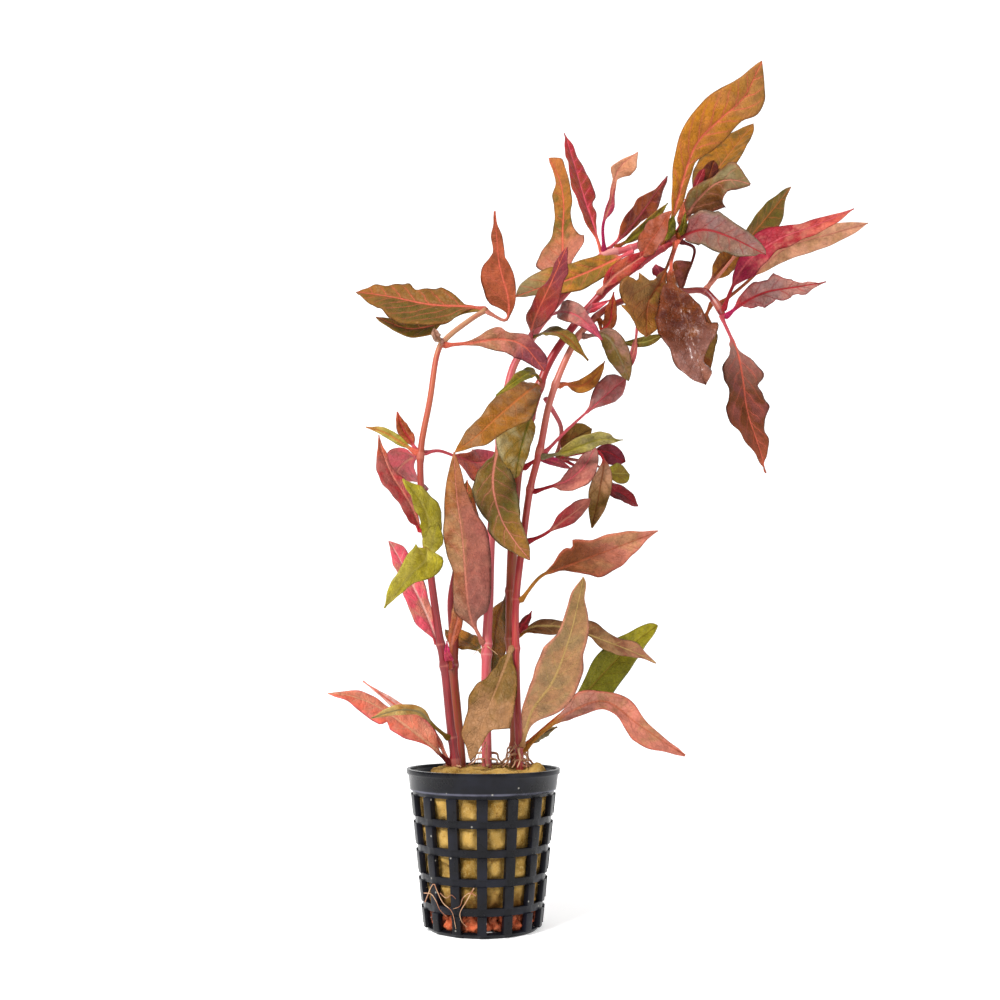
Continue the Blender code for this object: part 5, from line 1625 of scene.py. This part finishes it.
def raise_ribs(mesh):
    """The wall between one hole and the next is moved out by the ribs' height."""
    levels, pierced = pot_levels()
    spans = [(levels[band + 1][0], levels[band][0]) for band in pierced]
    shell = bmesh.new()
    shell.from_mesh(mesh)
    shell.normal_update()
    faces = []
    for face in shell.faces:
        centre = face.calc_center_median()
        outward = Vector((centre.x, centre.y, 0.0)).normalized()
        if face.normal.dot(outward) > 0.9 and any(low < centre.z < high for low, high in spans):
            faces.append(face)
    grown = bmesh.ops.extrude_face_region(shell, geom=faces)["geom"]
    for vertex in grown:
        if isinstance(vertex, bmesh.types.BMVert):
            outward = Vector((vertex.co.x, vertex.co.y, 0.0)).normalized()
            vertex.co += outward * RIB_PROUD
    bmesh.ops.delete(shell, geom=faces, context="FACES")
    shell.to_mesh(mesh)
    shell.free()


# %% [markdown]
# ## The pot's plastic
#
# It is black polypropylene that has been handled and wetted: charcoal grey in the light,
# a little dusty, with fine pale specks of lime. A pale bluish line below its band is a
# painted highlight, where the band's lower edge would catch the light. Noise in
# object coordinates gives the dust, and small Voronoi cells the specks.


# %% Pot material
def pot_material():
    material, shader = new_material("pot plastic")
    where = object_place(shader)
    film = cloud(where, 90.0, 5.0, 0.6)
    lime = put(shader.id_data, "ShaderNodeTexVoronoi",
               {"Vector": where, "Scale": 620.0}).outputs
    chosen = put(shader.id_data, "ShaderNodeSeparateColor", {0: lime["Color"]}).outputs[0]
    specks = times(ramp(chosen, 0.94, 0.96), ramp(lime["Distance"], 0.12, 0.26, 1.0, 0.0))
    # Painted highlight: a pale line along the band's lower edge, broken up by the dust film.
    off_edge = calc("ABSOLUTE", minus(axes(where)[2], POT_HEIGHT - BAND_HEIGHT))
    highlight_mask = times(ramp(off_edge, 0.0001, 0.0006, 1.0, 0.0), ramp(film, 0.35, 0.6, 0.25, 0.8))
    colour = blend(ramp(film, 0.4, 0.75, 0.0, 0.6), "pot_black", "pot_grey")
    colour = blend(highlight_mask, colour, "band_edge_highlight")
    colour = blend(times(specks, 0.7), colour, "dust")
    feed(shader, {"Base Color": colour, "Roughness": scaled(film, 0.35, 0.12),
                  "Normal": relief(cloud(where, 900.0, 3.0), 0.12, 0.0002),
                  "Specular IOR Level": 0.15})
    return material


# %% [markdown]
# ## Moulding
#
# Solidify runs first, then the ribs are raised on the plain mesh, then Bevel rounds it.

# %% Mould the pot
BEVEL_WIDTH = 0.00022
BEVEL_ANGLE = math.radians(40)
SHARP_ANGLE = math.radians(50)


def mould_pot():
    blank = new_object("pot blank", pot_skin())
    wall = blank.modifiers.new("wall", "SOLIDIFY")
    wall.thickness = WALL
    wall.offset = -1.0
    wall.use_even_offset = True
    mesh = as_mesh(blank)
    bpy.data.objects.remove(blank, do_unlink=True)
    raise_ribs(mesh)
    pot = new_object("pot", mesh)
    edges = pot.modifiers.new("moulded edges", "BEVEL")
    edges.width = BEVEL_WIDTH
    edges.segments = 2
    edges.limit_method = "ANGLE"
    edges.angle_limit = BEVEL_ANGLE
    pot.data = as_mesh(pot)
    pot.modifiers.clear()
    pot.data.shade_smooth()
    pot.data.set_sharp_from_angle(angle=SHARP_ANGLE)
    pot.data.materials.clear()
    pot.data.materials.append(pot_material())
    return settle(pot, "pot_plastic", "net_pot")


pot = mould_pot()
print("faces in the pot:", len(pot.data.polygons))

# %% [markdown]
# ## Rock wool
#
# The plug is a block of mineral fibre, torn and pressed into the pot. Its top is a low
# mound that leaves a gap at the left, and its side bulges a little into each hole. A
# dense turned skin is pushed about by noise at three sizes: lumps, tears and felt. Where
# a place of the skin lies behind a hole, it reaches up to half a millimetre into it.

# %% Wool sizes and skin
GAP = 0.00035
CLAY_TOP = 0.0068
WOOL_BOTTOM = CLAY_TOP + GAP
WOOL_EDGE_Z = 0.0490
FILLING_CLEARANCE = 0.0005
WOOL_SIDES = 180
WOOL_LEVELS = 60
WOOL_RINGS = 34
BULGE = 0.0008
HOLE_EDGE = (0.0002, 0.0010)


def filling_radius(z):
    return body_radius(z) - WALL - FILLING_CLEARANCE


def in_hole(angle, z):
    """1 behind the middle of a hole of the net, 0 behind its ribs, smooth between."""
    if z > TOP_HOLE_Z:
        return 0.0
    across = (angle + math.pi / 2 + RIB / 2) % COLUMN - RIB
    down = (TOP_HOLE_Z - z) % ROW_PITCH
    beside = min(across, COLUMN - RIB - across) * filling_radius(z)
    above = min(down, HOLE_HEIGHT - down)
    return ease(beside, *HOLE_EDGE) * ease(above, *HOLE_EDGE)


# Lumps, tears and felt: how fine the noise is, how far it pushes in mm, and its shift.
WOOL_NOISE = ((170, 0.7, (0, 0, 0)), (520, 0.55, (5, 0, 0)), (1500, 0.2, (0, 7, 0)))
SIDE_DRAW = 0.0003
GAP_SIDE = (0.0170, 0.0195)
GAP_DEPTH = 0.006
SIDE_TOP = WOOL_EDGE_Z - 0.0012
MOUND_FOOT = WOOL_EDGE_Z - 0.0008

# Where the wool is torn away behind the net, as spots with a depth, a spread and a depth
# of the hollow in mm, and where it stands up above the rim.
HOLLOWS = ((418, 812, -7, 3.2, 5.0), (443, 872, -16, 2.2, 3.5), (470, 905, -19, 1.8, 2.0),
           (548, 905, -14, 2.0, 2.0), (430, 900, -14, 2.6, 4.5), (452, 906, -18, 2.0, 3.5),
           (498, 908, -19, 2.0, 2.8), (520, 906, -18, 2.0, 3.4), (424, 846, -10, 1.3, 1.2),
           (452, 862, -18, 1.4, 2.0), (530, 872, -18, 1.4, 1.6), (462, 838, -20, 1.6, 0.9))
RAISED = ((538, 761, -8, 3.0, 2.4), (505, 762, -12, 3.5, 0.8), (450, 762, -10, 3.0, 0.9))


def wool_place(radius, angle, z, on_top):
    """A place of the wool's skin, pushed about by noise."""
    place = Vector((radius * math.cos(angle), radius * math.sin(angle), z))
    push = MM * sum(reach * noise.noise(place * fineness + Vector(shift))
                    for fineness, reach, shift in WOOL_NOISE)
    outward = Vector((math.cos(angle), math.sin(angle), 0.0))
    if on_top:
        gap = ease(-place.x, *GAP_SIDE) * GAP_DEPTH
        for px, py, depth, spread, height in RAISED:
            away = (place - spot(px, py, depth * MM)) / MM
            push += height * bump(away.xy.length, spread) * MM
        return place + Vector((0, 0, 1)) * (push * 1.2 - gap)
    push = min(push * 1.3, FILLING_CLEARANCE) + BULGE * in_hole(angle, z)
    for px, py, depth, spread, height in HOLLOWS:
        push -= height * bump((place - spot(px, py, depth * MM)).length / MM, spread) * MM
    return place + outward * (push - SIDE_DRAW)


def wool_skin():
    rings = []
    edge = filling_radius(WOOL_EDGE_Z)
    for level in range(WOOL_LEVELS + 1):
        z = WOOL_BOTTOM + (SIDE_TOP - WOOL_BOTTOM) * level / WOOL_LEVELS
        rings.append([wool_place(filling_radius(z), 2 * math.pi * side / WOOL_SIDES, z, False)
                      for side in range(WOOL_SIDES)])
    for ring in range(1, WOOL_RINGS):
        share = 1 - ring / WOOL_RINGS
        z = MOUND_FOOT + (WOOL_TOP - WOOL_EDGE_Z) * (1 - share ** 4)
        rings.append([wool_place(edge * share, 2 * math.pi * side / WOOL_SIDES, z, True)
                      for side in range(WOOL_SIDES)])
    return rings


def wool_material():
    material, shader = new_material("rock wool")
    where = object_place(shader)
    patch = cloud(where, 130.0, 4.0)
    felt = cloud(where, 1400.0, 6.0, 0.7, 1.5)
    # The torn noise paints shade: dark patches that stand for the shade in the wool's tears and
    # crevices.
    torn = cloud(where, 320.0, 5.0, 0.65)
    # Painted shade: the wool is darker towards the bottom, in patches, behind the lowest holes of
    # the net.
    low_shade = times(ramp(axes(where)[2], 0.009, 0.017, 0.85, 0.0), ramp(patch, 0.36, 0.52))
    colour = blend(ramp(patch, 0.35, 0.65), "wool_shade", "wool")
    colour = blend(ramp(felt, 0.45, 0.7, 0.0, 0.7), colour, "wool_light")
    colour = blend(ramp(torn, 0.3, 0.46, 0.75, 0.0), colour, "wool_painted_shade")
    colour = blend(low_shade, colour, "wool_painted_shade")
    feed(shader, {"Base Color": colour, "Roughness": 0.95, "Specular IOR Level": 0.1,
                  "Normal": relief(felt, 0.8, 0.0006)})
    return material


wool = settle(skin("wool_plug", wool_skin(), {}, wool_material()), "rock_wool", "rock_wool")
print("faces in the wool:", len(wool.data.polygons))

# %% [markdown]
# ## Tube roots
#
# Fine roots come out of the stems just above the wool and at the lowest nodes, and a few
# old ones have grown out through the net and lie on the pot. Each is a thin tapering
# tube along a few spots. A root on the net takes its depth from the pot's wall.

# %% Roots
NET_ROOTS = {
    "root_net_left": (0.2, [(425, 902), (433, 884), (437, 891), (443, 903), (452, 912),
        (456, 929)]),
    "root_net_right": (0.18, [(474, 888), (466, 902), (460, 913), (462, 922), (467, 927)]),
    "root_net_low": (0.17, [(424, 893), (431, 894), (436, 901), (440, 910), (447, 917)]),
    "root_net_middle": (0.16, [(476, 896), (470, 893), (463, 898), (460, 906), (453, 909)]),
    "root_net_thin": (0.13, [(440, 893), (446, 898), (451, 895), (456, 899)]),
}
ROOTS = {
    "root_foot_1": (0.22, [(486, 742, -3), (480, 752, -7), (477, 763, -8)]),
    "root_foot_2": (0.2, [(487, 745, -3), (486, 756, -6), (489, 767, -8)]),
    "root_foot_3": (0.2, [(484, 740, -2), (474, 748, -6), (467, 760, -8)]),
    "root_foot_4": (0.22, [(516, 745, -6), (507, 755, -8), (509, 767, -10)]),
    "root_foot_5": (0.2, [(515, 742, -6), (520, 754, -9), (526, 764, -10)]),
    "root_foot_6": (0.2, [(520, 744, -6), (512, 750, -9), (503, 764, -11)]),
    "root_node_1": (0.16, [(487, 646, -2), (492, 650, -4), (498, 655, -5)]),
    "root_node_2": (0.16, [(486, 646, -1), (478, 650, -3), (472, 656, -4)]),
}


def root_material():
    material, shader = new_material("root")
    grain = cloud(object_place(shader), 400.0, 4.0)
    feed(shader, {"Base Color": blend(ramp(grain, 0.35, 0.65), "root", "root_pale"),
                  "Normal": relief(grain, 0.4, 0.0002), "Roughness": 0.55})
    return material


ROOT_SIDES = 8
ROOT_ROWS = 22
ROOT_LIFT = 0.0003


def foot_root(stem_name, number):
    """A root that leaves a stem above the wool and arches down onto it."""
    places, radii = COURSES[stem_name]
    rise = 0.6 + 0.45 * number
    start = min(places, key=lambda place: abs(place.z - WOOL_TOP - rise * MM))
    angle = 2.4 * number + len(stem_name)
    outward = Vector((math.cos(angle), math.sin(angle), 0.0))
    across = Vector((-outward.y, outward.x, 0.0))
    reach = radii[0] + (1.5 + 0.5 * (number % 4)) * MM
    low = start + outward * reach * 1.5
    low.z = WOOL_TOP + 0.0001
    middle = start + outward * reach + across * (0.7 - 0.35 * (number % 5)) * MM
    middle.z = start.z * 0.45 + low.z * 0.55
    return [start, start + outward * reach * 0.8 - Vector((0, 0, 0.3 * MM)), middle, low]


def on_net(px, py):
    """The place where a sight line meets the outside of the net, just off its ribs."""
    place = spot(px, py, 0.0)
    for _ in range(6):
        radius = body_radius(place.z) + RIB_PROUD + ROOT_LIFT
        place = spot(px, py, -math.sqrt(max(radius ** 2 - place.x ** 2, 0.0)))
    return place


roots = root_material()


def grow_root(name, thick, points):
    places = smooth_path(points, ROOT_ROWS)
    radii = [thick * MM * (1 - 0.6 * i / (ROOT_ROWS - 1)) for i in range(ROOT_ROWS)]
    rings, _ = tube_rings(places, radii, ROOT_SIDES)
    settle(skin(name, rings, {}, roots), "stem")


for name, (thick, spots) in NET_ROOTS.items():
    grow_root(name, thick, [on_net(px, py) for px, py in spots])
for name, (thick, spots) in ROOTS.items():
    grow_root(name, thick, places_of(spots))

FOOT_ROOTS = {"stem_middle": 8, "stem_main": 12, "stem_slender": 12, "stem_left": 3}
for stem_name, count in FOOT_ROOTS.items():
    for number in range(count):
        grow_root(f"root_{stem_name}_{number + 1}", 0.52 - 0.06 * (number % 3),
                  foot_root(stem_name, number))
print("roots:", len(NET_ROOTS) + len(ROOTS) + sum(FOOT_ROOTS.values()))

# %% [markdown]
# ## Loose fibres and clay granules
#
# Two things repeat without order: the wool's loose fibres, and the fired clay granules at
# the bottom of the pot. Geometry Nodes scatter both. Each tree takes its counts and sizes
# as named inputs and a fixed seed, realizes its instances and sets their material. The
# result is turned into a plain mesh.

# %% Geometry Nodes helpers
FULL_TURN = 6.283


def run_tree(tree, name, data, values):
    """A new object with the tree's result on some data; the tree's host is removed."""
    host = new_object("host of " + name, data)
    modifier = host.modifiers.new(tree.name, "NODES")
    modifier.node_group = tree
    for item in tree.interface.items_tree:
        if item.in_out == "INPUT" and item.name in values:
            modifier[item.identifier] = values[item.name]
    mesh = as_mesh(host)
    mesh.name = name
    bpy.data.objects.remove(host, do_unlink=True)
    return new_object(name, mesh)


def random_value(tree, seed, low, high):
    """A random number or vector for each instance."""
    kind, first = ("FLOAT_VECTOR", 0) if isinstance(low, tuple) else ("FLOAT", 2)
    node = put(tree, "FunctionNodeRandomValue", {first: low, first + 1: high, "Seed": seed},
               data_type=kind)
    return node.outputs[first // 2]


def instances(tree, points, instance, rotation, scale):
    """An instance on each point, made real."""
    placed = put(tree, "GeometryNodeInstanceOnPoints",
                 {"Points": points, "Instance": instance, "Rotation": rotation,
                  "Scale": scale})
    real = put(tree, "GeometryNodeRealizeInstances", {"Geometry": placed.outputs[0]})
    return real.outputs[0]


def finish_tree(end, geometry, material):
    """The geometry with its material goes to the group's output."""
    dressed = put(end.id_data, "GeometryNodeSetMaterial", {"Geometry": geometry,
                                                           "Material": material})
    feed(end, {0: dressed.outputs[0]})


# %% [markdown]
# ## Fibres
#
# They grow where the wool's skin faces upwards. Each is a bent thread with three sides,
# turned and sized at random.

# %% Fibres
FIBRE_LEAST_SLOPE = 0.3
FIBRE_SIZES = {"Density": 550000.0, "Length": 0.0011, "Thickness": 0.00003, "Seed": 3}


def fibre_tree():
    tree, given, end = new_group(
        "wool fibres", "GeometryNodeTree",
        {"Geometry": ["Geometry"], "Float": ["Density", "Length", "Thickness"],
         "Int": ["Seed"], "Material": ["Material"]}, {"Geometry": ["Geometry"]})
    upward = axes(put(tree, "GeometryNodeInputNormal").outputs[0])[2]
    level = put(tree, "FunctionNodeCompare", {0: upward, 1: FIBRE_LEAST_SLOPE},
                operation="GREATER_THAN")
    points = put(tree, "GeometryNodeDistributePointsOnFaces",
                 {"Mesh": given["Geometry"], "Selection": level.outputs[0],
                  "Density": given["Density"], "Seed": given["Seed"]})
    arc = put(tree, "GeometryNodeCurveArc", {"Resolution": 7, "Radius": given["Length"],
                                             "Start Angle": 0.0, "Sweep Angle": 1.4})
    profile = put(tree, "GeometryNodeCurvePrimitiveCircle",
                  {"Resolution": 3, "Radius": given["Thickness"]})
    strand = put(tree, "GeometryNodeCurveToMesh",
                 {"Curve": arc.outputs["Curve"], "Profile Curve": profile.outputs["Curve"],
                  "Fill Caps": True})
    shift = put(tree, "ShaderNodeCombineXYZ", {0: times(given["Length"], -1.0)})
    centred = put(tree, "GeometryNodeTransform", {"Geometry": strand.outputs[0],
                                                  "Translation": shift.outputs[0]})
    turned = random_value(tree, given["Seed"], (-0.5, -0.5, 0.0), (0.5, 0.5, FULL_TURN))
    sized = random_value(tree, given["Seed"], 0.5, 1.3)
    real = instances(tree, points.outputs["Points"], centred.outputs[0], turned, sized)
    finish_tree(end, real, given["Material"])
    return tree


def fibre_material():
    material, shader = new_material("wool fibre")
    patch = cloud(object_place(shader), 300.0, 3.0)
    feed(shader, {"Base Color": blend(ramp(patch, 0.35, 0.65), "wool", "wool_light"),
                  "Roughness": 0.8})
    return material


fibres = run_tree(fibre_tree(), "wool_fibres", wool.data.copy(),
                  {**FIBRE_SIZES, "Material": fibre_material()})
settle(fibres, "rock_wool")
print("faces in the fibres:", len(fibres.data.polygons))

# %% [markdown]
# ## Clay granules
#
# The granules are rough lumps of 3 to 4 mm. They lie in rings at two levels. The tree sets
# a ball on each point, turned and sized at random, and noise makes the balls rough.

# %% Granules
GRANULE = 0.0017
GRANULE_RINGS = (0.0155, 0.0118, 0.0080, 0.0042, 0.0006)
GRANULE_LEVELS = (0.0030, 0.0052)
GRANULE_ROUGHNESS = 0.0032


def granule_points():
    """Where the granules lie: rings of places in two levels, a granule's width apart."""
    places = []
    for level_index, z in enumerate(GRANULE_LEVELS):
        for ring_index, radius in enumerate(GRANULE_RINGS):
            count = max(1, round(2 * math.pi * radius / (GRANULE * 1.9)))
            for step in range(count):
                angle = 2 * math.pi * (step + 0.5 * level_index + 0.3 * ring_index) / count
                places.append((radius * math.cos(angle), radius * math.sin(angle), z))
    return places


def granule_tree():
    tree, given, end = new_group(
        "clay granules", "GeometryNodeTree",
        {"Geometry": ["Geometry"], "Float": ["Radius", "Roughness"], "Int": ["Seed"],
         "Material": ["Material"]}, {"Geometry": ["Geometry"]})
    ball = put(tree, "GeometryNodeMeshIcoSphere", {"Radius": given["Radius"],
                                                   "Subdivisions": 3})
    turned = random_value(tree, given["Seed"], (0.0, 0.0, 0.0), (FULL_TURN,) * 3)
    sized = random_value(tree, given["Seed"], (0.75,) * 3, (1.12,) * 3)
    real = instances(tree, given["Geometry"], ball.outputs["Mesh"], turned, sized)
    where = put(tree, "GeometryNodeInputPosition").outputs[0]
    push = times(minus(cloud(where, 560.0, 3.0), 0.5), given["Roughness"])
    facing = put(tree, "GeometryNodeInputNormal").outputs[0]
    offset = put(tree, "ShaderNodeVectorMath", {0: facing, 3: push}, operation="SCALE")
    moved = put(tree, "GeometryNodeSetPosition", {"Geometry": real,
                                                  "Offset": offset.outputs[0]})
    finish_tree(end, moved.outputs[0], given["Material"])
    return tree


def clay_material():
    material, shader = new_material("fired clay")
    where = object_place(shader)
    grain = cloud(where, 2200.0, 5.0)
    colour = blend(ramp(cloud(where, 260.0, 3.0), 0.35, 0.65), "clay_dark", "clay")
    colour = blend(ramp(grain, 0.5, 0.7, 0.0, 0.6), colour, "clay_light")
    feed(shader, {"Base Color": colour, "Roughness": 0.9,
                  "Normal": relief(grain, 0.6, 0.0003)})
    return material


point_mesh = bpy.data.meshes.new("granule points")
point_mesh.from_pydata(granule_points(), [], [])
granules = run_tree(granule_tree(), "clay_lumps", point_mesh,
                    {"Radius": GRANULE, "Roughness": GRANULE_ROUGHNESS, "Seed": 5,
                     "Material": clay_material()})
granules.data.shade_smooth()
settle(granules, "clay", "clay_granules")
print("faces in the granules:", len(granules.data.polygons))
